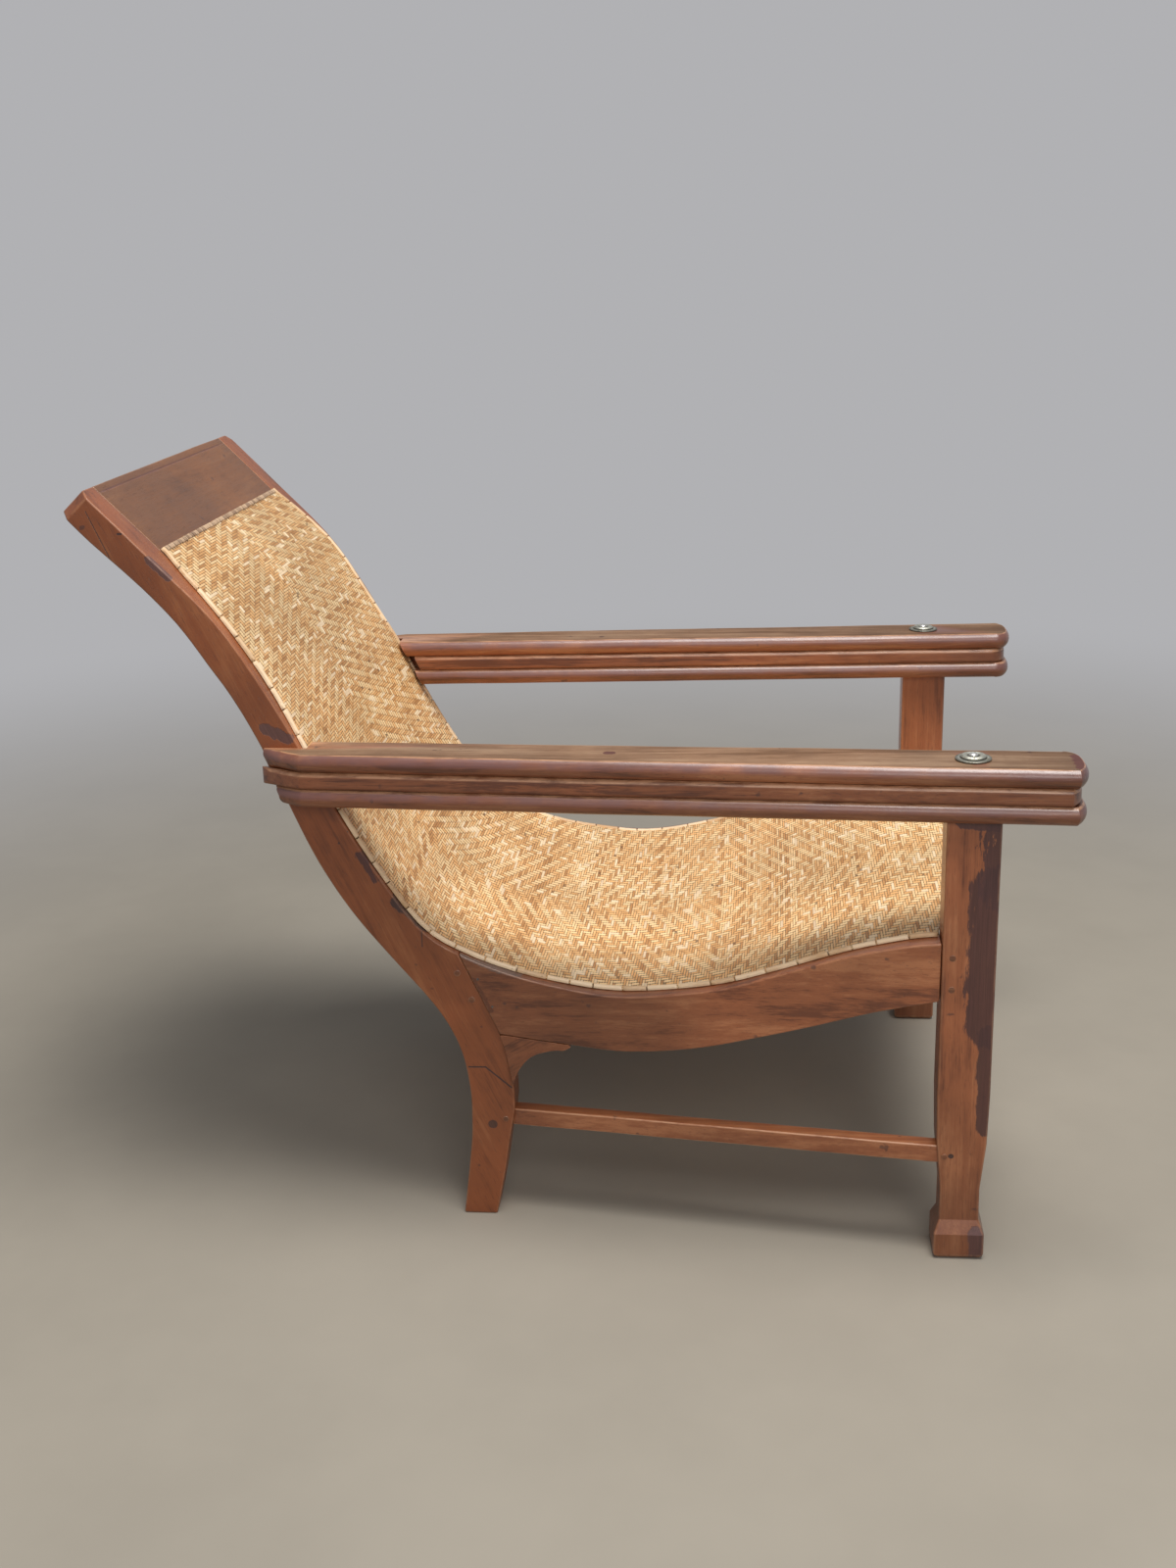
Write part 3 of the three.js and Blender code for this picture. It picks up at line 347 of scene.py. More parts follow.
def round_edges(bm, radius, steps=ARRIS_STEPS, least=BEVEL_ANGLE):
    """Rounds the edges that turn by more than an angle, and marks the roundings as worn, with a painted
    highlight.
    """
    edges = [
        e for e in bm.edges
        if len(e.link_faces) == 2 and e.calc_face_angle(0) > math.radians(least)
    ]
    made = bmesh.ops.bevel(
        bm, geom=edges, offset=radius, offset_type="OFFSET", segments=steps, profile=0.5,
        affect="EDGES", clamp_overlap=True,
    )
    rounded = set(made["faces"])
    wear = bm.verts.layers.float.new("wear")
    for vertex in bm.verts:
        vertex[wear] = float(all(face in rounded for face in vertex.link_faces))


def edge_wear(vertex):
    """How convex a mesh is at a vertex: 0 on flats, 1 on a rounded edge."""
    turn = max((e.calc_face_angle_signed(0) for e in vertex.link_edges), default=0)
    return min(1, max(0, (math.degrees(turn) - WEAR_HIGHLIGHT_FROM) / WEAR_HIGHLIGHT_RANGE))


def store(mesh, name, values):
    """Stores numbers or vectors on a mesh, one for each vertex."""
    values = np.array(values, np.float32)
    kind, key = ("FLOAT_VECTOR", "vector") if values.ndim > 1 else ("FLOAT", "value")
    mesh.attributes.new(name, kind, "POINT").data.foreach_set(key, values.ravel())


def register(piece, slot, node, body=BODY):
    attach(piece, body)
    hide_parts(node)


def finish(node, kind, bm, material, slot, sharp, body=BODY, **marks):
    """Turns a bmesh into the piece that stands for a node, with marks found at its vertices."""
    for face in bm.faces:
        face.smooth = True
    found = {title: [mark(v) for v in bm.verts] for title, mark in marks.items() if mark}
    piece = mesh_object(f"{node}_{kind}", bm)
    for title, values in found.items():
        store(piece.data, title, values)
    piece.data.set_sharp_from_angle(angle=math.radians(sharp))
    piece.data.materials.append(material)
    register(piece, slot, node, body)
    return piece


def finish_wood(node, bm, material, body=BODY, sharp=SHARP_ANGLE, change=None, **marks):
    low, high = (np.array(v) for v in cad_box)
    for vertex in bm.verts:
        moved = vertex.co + noise.noise_vector(vertex.co * WOBBLE_SCALE) * WOBBLE
        vertex.co = np.clip(np.array(moved), low, high)
    if change:
        change(bm)
    bm.normal_update()
    piece = finish(node, "wood", bm, material, "teak", sharp, body, **marks)
    piece.modifiers.new("normals", "WEIGHTED_NORMAL").keep_sharp = True


def rectangle(a, b, c, d, steps=SIDE_STEPS):
    """A ring round four corners with points between them."""
    corners = [np.array(p, float) for p in (a, b, c, d)]
    return [
        start + (end - start) * i / steps
        for start, end in zip(corners, corners[1:] + corners[:1]) for i in range(steps)
    ]


def plank_rings(front, rear, low_x, high_x, offset=lambda y: 0.0):
    """Rings of a plank between two curves of (y, z), from one x to another."""
    rings = []
    lows, highs = (np.full(len(front), x) for x in (low_x, high_x))
    for f, r, low, high in zip(front, rear, lows, highs):
        a, b = offset(f[0]), offset(r[0])
        rings.append(rectangle((low + a, *f), (high + a, *f), (high + b, *r), (low + b, *r)))
    return rings


# Curves of the side, as (y, z)

stile_loop = rim_loop("left_stile", (-1, 0, 0))[:, 1:]
crest_point = furthest(stile_loop, 0, 1)
crest_rear = furthest(stile_loop, 1, 0)
foot_points = stile_loop[stile_loop[:, 1] < FLOOR_BAND]
stile_front = between(stile_loop, crest_point, furthest(foot_points, -1, 0), crest_rear)
stile_rear = between(stile_loop, crest_rear, furthest(foot_points, 1, 0), crest_point)

rail_loop = rim_loop("left_side_rail", (1, 0, 0))
rail_outline = rail_loop[:, 1:]
knee = furthest(rail_outline, 1, 0)
leg_face = rail_outline[:, 0].min()
rail_ends = rail_outline[rail_outline[:, 0] < leg_face + END_BAND]
rail_end_top = furthest(rail_ends, 0, 1)
rail_end_foot = furthest(rail_ends, 0, -1)
joint_side = rail_outline[rail_outline[:, 0] > leg_face * (1 - KNEE_SHARE) + knee[0] * KNEE_SHARE]
joint_foot = furthest(joint_side, JOINT_SLOPE, -1)
rail_top = between(rail_outline, knee, rail_end_top, rail_end_foot)
rail_bottom = between(rail_outline, joint_foot, rail_end_foot, rail_end_top)
stile_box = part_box("left_stile")
STILE_INNER, STILE_OUTER = stile_box[0].x, stile_box[1].x
rail_spread = (rail_loop[:, 0].max() - STILE_OUTER) / (knee[0] - leg_face)
PIVOT = middle("left_pivot_bolt")[:2]


def rail_offset(y):
    """How far outside the stile the rail is at y, because it spreads towards the front leg."""
    return np.maximum(0.0, (knee[0] - y) * rail_spread)


# Materials

class Value:
    """A socket of a graph that can be calculated with."""

    def __init__(self, graph, socket):
        self.graph, self.socket = graph, socket

    def __rsub__(self, other):
        return self.graph.math("SUBTRACT", other, self)

    def __abs__(self):
        return self.graph.math("ABSOLUTE", self)


def give_operator(method, operation):
    setattr(Value, method, lambda self, other: self.graph.math(operation, self, other))


for operator in (
    ("__add__", "ADD"), ("__sub__", "SUBTRACT"), ("__mul__", "MULTIPLY"), ("__truediv__", "DIVIDE"),
    ("__mod__", "MODULO"), ("__lt__", "LESS_THAN"), ("__gt__", "GREATER_THAN"),
):
    give_operator(*operator)


class Graph:
    """The nodes of a material or a world under construction."""

    def __init__(self, owner, shader="Principled BSDF", output="Material Output"):
        owner.use_nodes = True
        self.owner, self.tree = owner, owner.node_tree
        self.shader = self.tree.nodes[shader]
        self.surface = self.tree.nodes[output].inputs["Surface"]

    def put(self, socket, value):
        if isinstance(value, Value):
            self.tree.links.new(value.socket, socket)
        else:
            socket.default_value = value

    def node(self, kind, inputs=None, output=0, **settings):
        made = self.tree.nodes.new("ShaderNode" + kind)
        for key, value in settings.items():
            setattr(made, key, value)
        for key, value in (inputs or {}).items():
            self.put(made.inputs[key], value)
        return Value(self, made.outputs[output])

    def place(self):
        return self.node("TexCoord", output="Object")

    def attribute(self, name, output="Fac"):
        return self.node("Attribute", output=output, attribute_name=name)

    def math(self, operation, a, b=0.0, clamp=False):
        return self.node("Math", {0: a, 1: b}, operation=operation, use_clamp=clamp)

    def vector(self, operation, a, b=(0, 0, 0)):
        output = "Value" if operation in ("LENGTH", "DOT_PRODUCT") else "Vector"
        return self.node("VectorMath", {0: a, 1: b}, output, operation=operation)

    def combined(self, x, y, z=0.0):
        return self.node("CombineXYZ", {0: x, 1: y, 2: z})

    def fit(self, value, low, high, to_low=0.0, to_high=1.0):
        """Brings a value from one range to another, smoothly, and holds it there."""
        return self.node("MapRange", {
            "Value": value, "From Min": low, "From Max": high, "To Min": to_low, "To Max": to_high,
        }, "Result", interpolation_type="SMOOTHSTEP")

    def noise(self, vector, scale, detail=2.0, roughness=0.5):
        """Smooth noise, whose scale is one number, or three to stretch it."""
        if isinstance(scale, tuple):
            vector, scale = self.vector("MULTIPLY", vector, scale), 1.0
        return self.node("TexNoise", {
            "Vector": vector, "Scale": scale, "Detail": detail, "Roughness": roughness,
        }, "Fac")

    def chance(self, vector):
        """A number from 0 to 1 without any link to its neighbours'."""
        return self.node("TexWhiteNoise", {"Vector": vector}, "Value", noise_dimensions="3D")

    def mix(self, share, a, b, blend="MIX"):
        a, b = (c if isinstance(c, Value) else (*c, 1) for c in (a, b))
        return self.node("Mix", {0: share, 6: a, 7: b}, 2, data_type="RGBA", blend_type=blend)

    def shaded(self, colour, shade):
        grey = self.node("CombineColor", {0: shade, 1: shade, 2: shade})
        return self.mix(1.0, colour, grey, "MULTIPLY")

    def bump(self, height, distance, strength, **under):
        return self.node("Bump", {
            "Height": height, "Distance": distance, "Strength": strength, **under,
        }, "Normal")

    def paint(self, inputs):
        """Sets the shader's inputs, and returns the material."""
        for key, value in inputs.items():
            self.put(self.shader.inputs[key], value)
        return self.owner

    def show_far(self, kind, share=1.0):
        """Shows the background's colour to the rays that show a background."""
        rays = [
            self.node("LightPath", output=f"Is {name} Ray")
            for name in ("Camera", "Glossy", "Transmission")
        ]
        seen = self.math("MAXIMUM", self.math("MAXIMUM", rays[0], rays[1]), rays[2])
        near = Value(self, self.shader.outputs[0])
        far = self.node(kind, {"Color": (*FAR_COLOUR, 1), "Strength": 1.0})
        self.put(self.surface, self.node("MixShader", {0: seen * share, 1: near, 2: far}))


def new_material(name):
    return Graph(bpy.data.materials.new(name))


def times(colour, share):
    return tuple(c * share for c in colour)


WOOD_DARK = (0.150, 0.043, 0.017)
WOOD_MID = (0.310, 0.098, 0.037)
WOOD_LIGHT = (0.430, 0.165, 0.070)
# pale edge colour: partly really worn, partly a painted highlight
WOOD_ARRIS = (0.60, 0.31, 0.17)
# purple-brown of a painted sheen on the arm planks, also the painted shade in the crest board's scribed
# line
WOOD_PAINTED_SHEEN_AND_SHADE = (0.165, 0.070, 0.062)
WOOD_PEELED_AND_SHADE = (0.088, 0.031, 0.029)
WOOD_PURPLE = (0.120, 0.048, 0.044)
WOOD_PEG = (0.085, 0.036, 0.026)
WOOD_BLACK = (0.050, 0.023, 0.022)
WOOD_BARE = (0.180, 0.105, 0.080)
WOOD_PAINTED_SHEEN_PATCH = (0.145, 0.066, 0.058)
CREST_COLOURS = ((0.120, 0.042, 0.014), (0.190, 0.072, 0.026), (0.245, 0.100, 0.038))
# armrest top: a worn, dulled finish, with the sheen of its reflection painted in as paler colour
TOP_WORN_SHEEN_COLOURS = ((0.150, 0.078, 0.042), (0.250, 0.143, 0.085), (0.350, 0.222, 0.140))
SIDE_COLOURS = (WOOD_DARK, WOOD_MID, WOOD_LIGHT)
STILE_COLOURS = ((0.150, 0.040, 0.013), (0.305, 0.086, 0.027), (0.420, 0.146, 0.053))
SOFT_WEAR_HIGHLIGHT = (0.03, 0.27)
STRONG_WEAR_HIGHLIGHT = (0.20, 0.90)
CANE_PALE = (1.0, 0.72, 0.39)
CANE_MID = (0.90, 0.505, 0.205)
CANE_DARK = (0.52, 0.245, 0.082)
CANE_GAP_SHADE = (0.16, 0.070, 0.026)
CANE_PALE_AND_SHEEN = (1.0, 0.84, 0.60)
CANE_SPECK = (0.075, 0.032, 0.014)


def add_stain_and_painted_light(g, place, patch, ragged, streaks, colour):
    """Paints a stain, or a patch of painted shade or painted sheen, round the line between two places, and
    says how far inside it a point is.
    """
    start, end, radius, stain, raggedness = patch
    start, along = Vector(start), Vector(end) - Vector(start)
    offset = g.vector("SUBTRACT", place, tuple(start))
    if along.length > 0:
        share = g.vector("DOT_PRODUCT", offset, tuple(along / along.length_squared))
        share = g.math("MULTIPLY", share, 1.0, clamp=True)
        on_line = g.node("VectorMath", {0: tuple(along), 3: share}, "Vector", operation="SCALE")
        offset = g.vector("SUBTRACT", offset, on_line)
    edge = g.vector("LENGTH", offset) / radius + (ragged - 0.5) * raggedness
    inside = g.fit(edge, 0.88, 1.04, 1.0, 0.0)
    stained = g.mix(g.fit(streaks, 0.35, 0.65), times(stain, 0.72), stain)
    return inside, g.mix(inside * 0.92, colour, stained)


def wood(name, turn=(0, 0, 0), seed=0.0, tone=1.0, patches=(), colours=SIDE_COLOURS, wear=SOFT_WEAR_HIGHLIGHT,
         figure=1.0, rubbed=None, ramp=None, gloss=0.4):
    """Oiled, worn teak. Turned so, the piece's own coordinates run along its grain in x.

    Each patch is two ends, a radius, a colour and how ragged its border is. A ramp is an axis and
    two pairs of a place along it and the tone there.
    """
    g = new_material(name)
    place = g.place()
    turned = g.node("Mapping", {
        "Vector": place, "Rotation": tuple(math.radians(a) for a in turn),
        "Location": times((0.73, 0.41, 0.57), seed),
    }, vector_type="POINT")
    drift = g.noise(turned, (1.6, 6, 6), 2)
    bent = g.vector("ADD", turned, g.combined(0.0, drift * 0.05, drift * 0.03))
    broad = g.noise(bent, (1.8, 26, 26), 3, 0.55)
    rings = g.noise(bent, (3.2, 130, 130), 4, 0.6)
    streaks = g.noise(bent, (14, 620, 620), 3, 0.6)
    pores = g.fit(g.noise(bent, (60, 1500, 1500), 1), 0.62, 0.72)
    patina = g.noise(turned, 5.5, 4, 0.6)
    blotches = g.noise(bent, (9, 22, 22), 4, 0.62)
    mixed = (broad * 0.42 + rings * 0.36 + streaks * 0.22 - 0.5) * figure + blotches * 0.36 + 0.32

    def toned(tones):
        darker = g.mix(g.fit(mixed, 0.38, 0.5), tones[0], tones[1])
        return g.mix(g.fit(mixed, 0.5, 0.63), darker, tones[2])
    colour = toned(colours)
    # The armrest's top takes paler colours: a worn, dulled finish, with a painted sheen.
    if rubbed:
        colour = g.mix(g.attribute("rubbed"), colour, toned(rubbed))
    shade = g.fit(patina, 0.3, 0.72, 0.80 * tone, 1.14 * tone)
    if ramp:
        axis, (low, low_tone), (high, high_tone) = ramp
        along = g.node("SeparateXYZ", {0: place}, axis) + (blotches - 0.5) * ((high - low) * 0.7)
        shade = shade * g.fit(along, low, high, low_tone, high_tone)
    colour = g.shaded(colour, shade)
    colour = g.mix(pores * 0.45, colour, times(colours[0], 0.45))
    specks = g.fit(g.noise(turned, 62, 2, 0.5), 0.70, 0.76, 0.0, 0.6)
    colour = g.mix(specks, colour, WOOD_BLACK)
    ragged = g.noise(turned, (30, 150, 150), 4, 0.7)
    # Painted sheen and shade: the upper rounding of an arm plank takes a purple-brown tint for its gloss's
    # reflection, and the crest board's scribed line is painted darker.
    handled = g.attribute("handled") * g.fit(g.noise(turned, 22, 3, 0.6), 0.3, 0.62, 0.35, 0.9)
    colour = g.mix(handled, colour, WOOD_PAINTED_SHEEN_AND_SHADE)
    stained = None
    # Patches: real marks on the wood, and a few patches of painted shade and painted sheen.
    for patch in patches:
        inside, colour = add_stain_and_painted_light(g, place, patch, ragged, streaks, colour)
        stained = inside if stained is None else g.math("MAXIMUM", stained, inside)
    # Rounded edges turn paler: partly really worn, partly a painted highlight.
    colour = g.mix(g.attribute("wear") * g.fit(ragged, 0.34, 0.6, *wear), colour, WOOD_ARRIS)
    rough = g.fit(patina * 0.6 + streaks * 0.4, 0.3, 0.7, 0.30, 0.50)
    height = streaks * 0.5 - pores * 0.5
    if patches:
        rough = rough + stained * 0.08
        height = height - stained * 1.2
    coat, specular = gloss, 0.5
    if rubbed:
        dulled = g.attribute("rubbed")
        coat = g.fit(dulled, 0.0, 1.0, gloss, 0.0)
        specular = g.fit(dulled, 0.0, 1.0, 0.5, 0.12)
        rough = rough + dulled * 0.15
    return g.paint({
        "Base Color": colour, "Roughness": rough, "Coat Weight": coat, "Coat Roughness": 0.24,
        "Specular IOR Level": specular,
        "Normal": g.bump(height, 0.00022, 0.7, Normal=g.bump(patina, 0.0011, 0.5)),
    })


def cane(name):
    """Split cane woven three over and three under, in diamonds round the seat's middle."""
    g = new_material(name)
    place = g.place()
    weave = g.attribute("weave", "Vector")
    u, v, below = (g.node("SeparateXYZ", {0: weave}, axis) for axis in range(3))
    i, j = (g.math("ROUND", value) for value in (u, v))
    over = (abs(i) + abs(j)) % (2.0 * FLOAT) < FLOAT - 0.5
    over = abs(over - (below > 0.5))

    def choose(when_over, when_under):
        return over * when_over + (1.0 - over) * when_under
    strip = choose(i, j + 1000.5)
    across = abs(choose(u - i, v - j))
    along, side = choose(v, u), choose(u, v)
    tone = g.node("TexWhiteNoise", {"W": strip}, "Value", noise_dimensions="1D")
    slow = g.noise(g.combined(strip * 7.31, along * 0.21), 1.0, 2)
    fibres = g.noise(g.combined(side * 9.0, along * 0.7, over), 1.0, 3, 0.6)
    # The strips that run down the seat are painted lighter than those across it: a painted sheen.
    share = tone * 0.5 + slow * 0.62 - 0.1 + (fibres - 0.5) * 0.7 + over * 0.2
    colour = g.mix(g.fit(share, 0.14, 0.50), CANE_DARK, CANE_MID)
    colour = g.mix(g.fit(share, 0.42, 0.78), colour, CANE_PALE)
    shade = g.fit(g.noise(place, 7.0, 3, 0.6), 0.3, 0.7, 0.84, 1.08)
    # Painted shade: the cane darkens towards the top of the back.
    colour = g.shaded(colour, shade * g.fit(v, -290.0, -170.0, 0.82, 1.0))
    # Painted shade: the weave's low places and the edges of each strip darken towards the gap colour.
    colour = g.mix(g.fit(g.attribute("depth"), 0.35, 1.0, 0.0, 0.95), colour, CANE_GAP_SHADE)
    colour = g.mix(g.fit(across, 0.41, 0.5, 0.0, 0.85), colour, CANE_GAP_SHADE)
    # A few floats turn paler: partly a paler tone of the cane, partly a painted sheen.
    length = g.math("FLOOR", along / (2.0 * FLOAT))
    pale_and_sheen = g.chance(g.combined(strip, length)) > 0.93
    colour = g.mix(pale_and_sheen * 0.6, colour, CANE_PALE_AND_SHEEN)
    speck = (g.chance(g.combined(i, j)) > 0.9972) * g.fit(fibres, 0.35, 0.55)
    return g.paint({
        "Base Color": g.mix(speck * 0.85, colour, CANE_SPECK),
        "Roughness": g.fit(fibres, 0.3, 0.7, 0.42, 0.62), "Normal": g.bump(fibres, 0.00018, 0.7),
    })


def rattan(name, pale, dark, stretch):
    """Split rattan for bindings, with its fibres along one direction."""
    g = new_material(name)
    place = g.place()
    fibres = g.noise(place, stretch, 3, 0.6)
    share = fibres * 0.3 + g.noise(place, 28, 2) * 0.4 + g.attribute("slat") * 0.34
    colour = g.mix(g.fit(share, 0.26, 0.64), dark, pale)
    grime = g.fit(g.noise(place, 90, 3, 0.6), 0.60, 0.76, 0.0, 0.4)
    colour = g.mix(grime, colour, times(dark, 0.4))
    return g.paint({
        "Base Color": g.mix(g.attribute("joint"), colour, times(dark, 0.2)),
        "Roughness": g.fit(fibres, 0.3, 0.7, 0.4, 0.62), "Normal": g.bump(fibres, 0.00025, 0.8),
    })


def steel(name, colour, rough, tarnish_and_shade):
    g = new_material(name)
    place = g.place()
    spots = g.noise(place, 240, 4, 0.7)
    broad = g.noise(place, 60, 3, 0.6)
    stained = g.mix(g.fit(spots, 0.46, 0.68, 0.0, 0.85), colour, tarnish_and_shade)
    stained = g.mix(g.fit(broad, 0.5, 0.75, 0.0, 0.6), stained, times(tarnish_and_shade, 0.6))
    return g.paint({
        # Painted shade: the flat washer's rim and the cup washer outside its bright band are darkened.
        "Base Color": g.mix(g.attribute("handled"), stained, times(tarnish_and_shade, 0.35)),
        "Roughness": g.fit(spots, 0.3, 0.7, rough, rough + 0.25),
        "Normal": g.bump(spots, 0.0001, 0.6), "Metallic": 1.0,
    })


# Sawn side pieces

def sawn(side, name, rings, material, *rounding, sharp=SHARP_ANGLE):
    bm = skin(rings, SIGNS[side])
    round_edges(bm, *(rounding or (ARRIS,)))
    finish_wood(f"{side}_{name}", bm, material, sharp=sharp)


def stile_rings():
    steps = int(lengths_of(stile_front)[-1] / STATION)
    corner = nearest(stile_front, knee)
    upper = evenly(stile_front[: corner + 1], int(steps * BACK_SHARE))
    lower = evenly(stile_front[corner:], steps - len(upper))
    front = np.concatenate([upper, lower[1:]])
    rear = across_from(front, stile_rear)
    down = lengths_of((front + rear) / 2)
    front, rear = (
        np.insert(edge, 1, at_lengths(edge, [TOP_CHAMFER * 0.99])[0], 0) for edge in (front, rear)
    )
    outer = np.full(len(front), STILE_OUTER)
    outer[0] -= TOP_CHAMFER
    keep = np.ones(len(front), bool)
    keep[2] = down[1] > TOP_CHAMFER * 1.3
    return plank_rings(front[keep], rear[keep], STILE_INNER, outer[keep])


def rail_rings():
    count = int(lengths_of(rail_top)[-1] / STATION)
    top, bottom = evenly(rail_top, count), evenly(rail_bottom, count)
    return plank_rings(top, bottom, STILE_OUTER - RAIL_THICKNESS, STILE_OUTER, rail_offset)


def bracket_rings():
    loop = rim_loop("left_knee_bracket", (1, 0, 0))[:, 1:]
    tip, foot, top = (furthest(loop, *way) for way in ((-1, 0), (0, -1), (0, 1)))
    upper = between(loop, tip, foot, loop[nearest(loop, (tip + foot) / 2)])
    under = between(loop, tip, foot, top)
    upper, under = evenly(upper, BRACKET_SECTIONS), evenly(under, BRACKET_SECTIONS)
    keep = np.linalg.norm(upper - under, axis=1) > THINNEST
    inner = STILE_OUTER - BRACKET_THICKNESS
    return plank_rings(upper[keep], under[keep], inner, STILE_OUTER, rail_offset)


def leg_rings():
    low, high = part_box("left_front_leg")
    rings = []
    for z in (low.z, *FOOT_LEVELS, high.z):
        at = min(max(z, low.z + INSIDE * 0.1), high.z - INSIDE)
        a, b = extent("left_front_leg", 2, at)
        rings.append(rectangle((a[0], a[1], z), (b[0], a[1], z), (b[0], b[1], z), (a[0], b[1], z)))
    return rings


def stretcher_rings():
    low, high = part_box("left_side_stretcher")
    near, far = low.y + STRETCHER_MARGIN, high.y - STRETCHER_MARGIN
    a, b = (extent("left_side_stretcher", 1, y) for y in (near, far))
    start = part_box("left_front_leg")[1].y - IN_LEG
    rings = []
    for y in np.linspace(start, high.y - IN_STILE, STRETCHER_SECTIONS):
        share = (y - near) / (far - near)
        lo, hi = (a[k][0] + (b[k][0] - a[k][0]) * share for k in (0, 1))
        z_low, z_high = a[0][2], a[1][2]
        rings.append(rectangle((lo, y, z_low), (hi, y, z_low), (hi, y, z_high), (lo, y, z_high), 3))
    return rings


# Arms

class Arm:
    """The plan of one of an arm's three planks, measured from its solid."""

    def __init__(self, node):
        low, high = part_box(node)
        self.low_z, self.high_z = low.z, high.z
        self.tip = low.y
        self.sections = [(y, extent(node, 1, y)) for y in ARM_SECTIONS]
        self.stile_side = extent(node, 1, high.y - ARM_REAR)[0][0]
        levels = [low.z + (high.z - low.z) * share for share in ARM_LEVELS]
        cuts = [cut_points(node, 2, z) for z in levels]
        self.middle = sum(levels) / 2

        def line(ends):
            return sum(ends) / 2, (ends[1] - ends[0]) / (levels[1] - levels[0])
        self.notch = line([p[p[:, 0] < self.stile_side - 0.001][:, 1].max() for p in cuts])
        self.end = line([p[:, 1].max() for p in cuts])

    def edge(self, which, y):
        (ya, a), (yb, b) = self.sections
        return a[which][0] + (b[which][0] - a[which][0]) * (y - ya) / (yb - ya)

    def at(self, line, z):
        return line[0] + line[1] * (z - self.middle)


def arm_outline(arm, corner_end):
    """Plan points in order, each with how much its edge is rounded and whether it is the notch's."""
    inner, outer = (lambda y: arm.edge(0, y)), (lambda y: arm.edge(1, y))
    notch, side = arm.notch[0], arm.stile_side
    points = [(side, y, 0, int(y == notch)) for y in np.linspace(arm.end[0], notch, END_STATIONS)]
    points += [(side + (inner(notch) - side) * share, notch, 0, 1) for share in BETWEEN]
    for k, y in enumerate(np.linspace(notch, arm.tip + NOSE_DEPTH, EDGE_STATIONS)):
        points.append((inner(y), y, 1, int(k == 0)))
    for step in range(1, NOSE_STEPS):
        across = math.cos(math.pi * step / NOSE_STEPS)
        if across > 0:
            y = arm.tip + NOSE_DEPTH * (1 - math.sqrt(1 - across ** NOSE_POWER))
        else:
            y = arm.tip + NOSE_CORNER * (-across) ** CORNER_POWER
        x = (inner(y) + outer(y)) / 2 - across * (outer(y) - inner(y)) / 2
        points.append((x, y, NOSE_ROUNDING, 0))
    start = corner_end - CORNER_LENGTH
    for y in np.linspace(arm.tip + NOSE_CORNER, start, EDGE_STATIONS):
        points.append((outer(y), y, 1, 0))
    width = outer(start) - side
    a = np.array((outer(start), start))
    b = np.array((side + width * CORNER_SHARES[0], start + CORNER_LENGTH * CORNER_SHARES[1]))
    c = np.array((side, corner_end))
    for step in range(1, CORNER_STEPS):
        t = step / CORNER_STEPS
        place = a * (1 - t) ** 2 + b * 2 * t * (1 - t) + c * t * t
        points.append((*place, min(1, (1 - t) * CORNER_FADE), 0))
    return np.array(points)


def edge_levels(across, up, turn):
    """A rounding from the side to the flat, as insets from the side and heights from the flat."""
    turn = math.radians(turn)
    levels = []
    for step in range(EDGE_STEPS + 1):
        angle = turn * step / EDGE_STEPS
        inset = across * (1 - math.cos(angle)) / (1 - math.cos(turn))
        levels.append((inset, up * (1 - math.sin(angle) / math.sin(turn))))
    return levels


def mitred(arm, x, y, inset):
    """Keeps an inset point near the tip's outer corner inside the inset side and end."""
    centre = (arm.edge(0, y) + arm.edge(1, y)) / 2
    half = arm.edge(1, y) - centre
    if x < centre or y > arm.tip + NOSE_REACH:
        return x, y
    x = min(x, arm.edge(1, y) - inset)
    share = (x - centre) / half
    slope = NOSE_CORNER * CORNER_POWER * share ** (CORNER_POWER - 1) / half
    end = arm.tip + NOSE_CORNER * share ** CORNER_POWER
    return x, max(y, end + inset * NOSE_ROUNDING * math.hypot(1, slope))


def arm_rings(arm, corner_end, edge):
    plan = arm_outline(arm, corner_end)
    xy = plan[:, :2]
    tangent = np.roll(xy, -1, 0) - np.roll(xy, 1, 0)
    notch_index = next(k for k in range(len(plan)) if plan[k, 2] == 1)
    tangent[notch_index] = xy[notch_index + 1] - xy[notch_index]
    tangent /= np.linalg.norm(tangent, axis=1)[:, None]
    inward = np.stack([-tangent[:, 1], tangent[:, 0]], 1)
    low, high = (edge_levels(*part) for part in edge)
    levels = [(low[-1][0] + RIM, arm.low_z)]
    levels += [(inset, arm.low_z + height) for inset, height in reversed(low)]
    levels += [(inset, arm.high_z - height) for inset, height in high]
    levels.append((high[-1][0] + RIM, arm.high_z))
    rings = []
    for inset, z in levels:
        ring = []
        for (x, y, rounding, at_notch), (nx, ny) in zip(plan, inward):
            px, py = mitred(arm, x + nx * inset * rounding, y + ny * inset * rounding, inset)
            if at_notch:
                py = arm.at(arm.notch, z)
            elif y > arm.notch[0] + CLEAR:
                py = min(py, arm.at(arm.end, z))
            ring.append((px, py, z))
        rings.append(ring)
    return rings


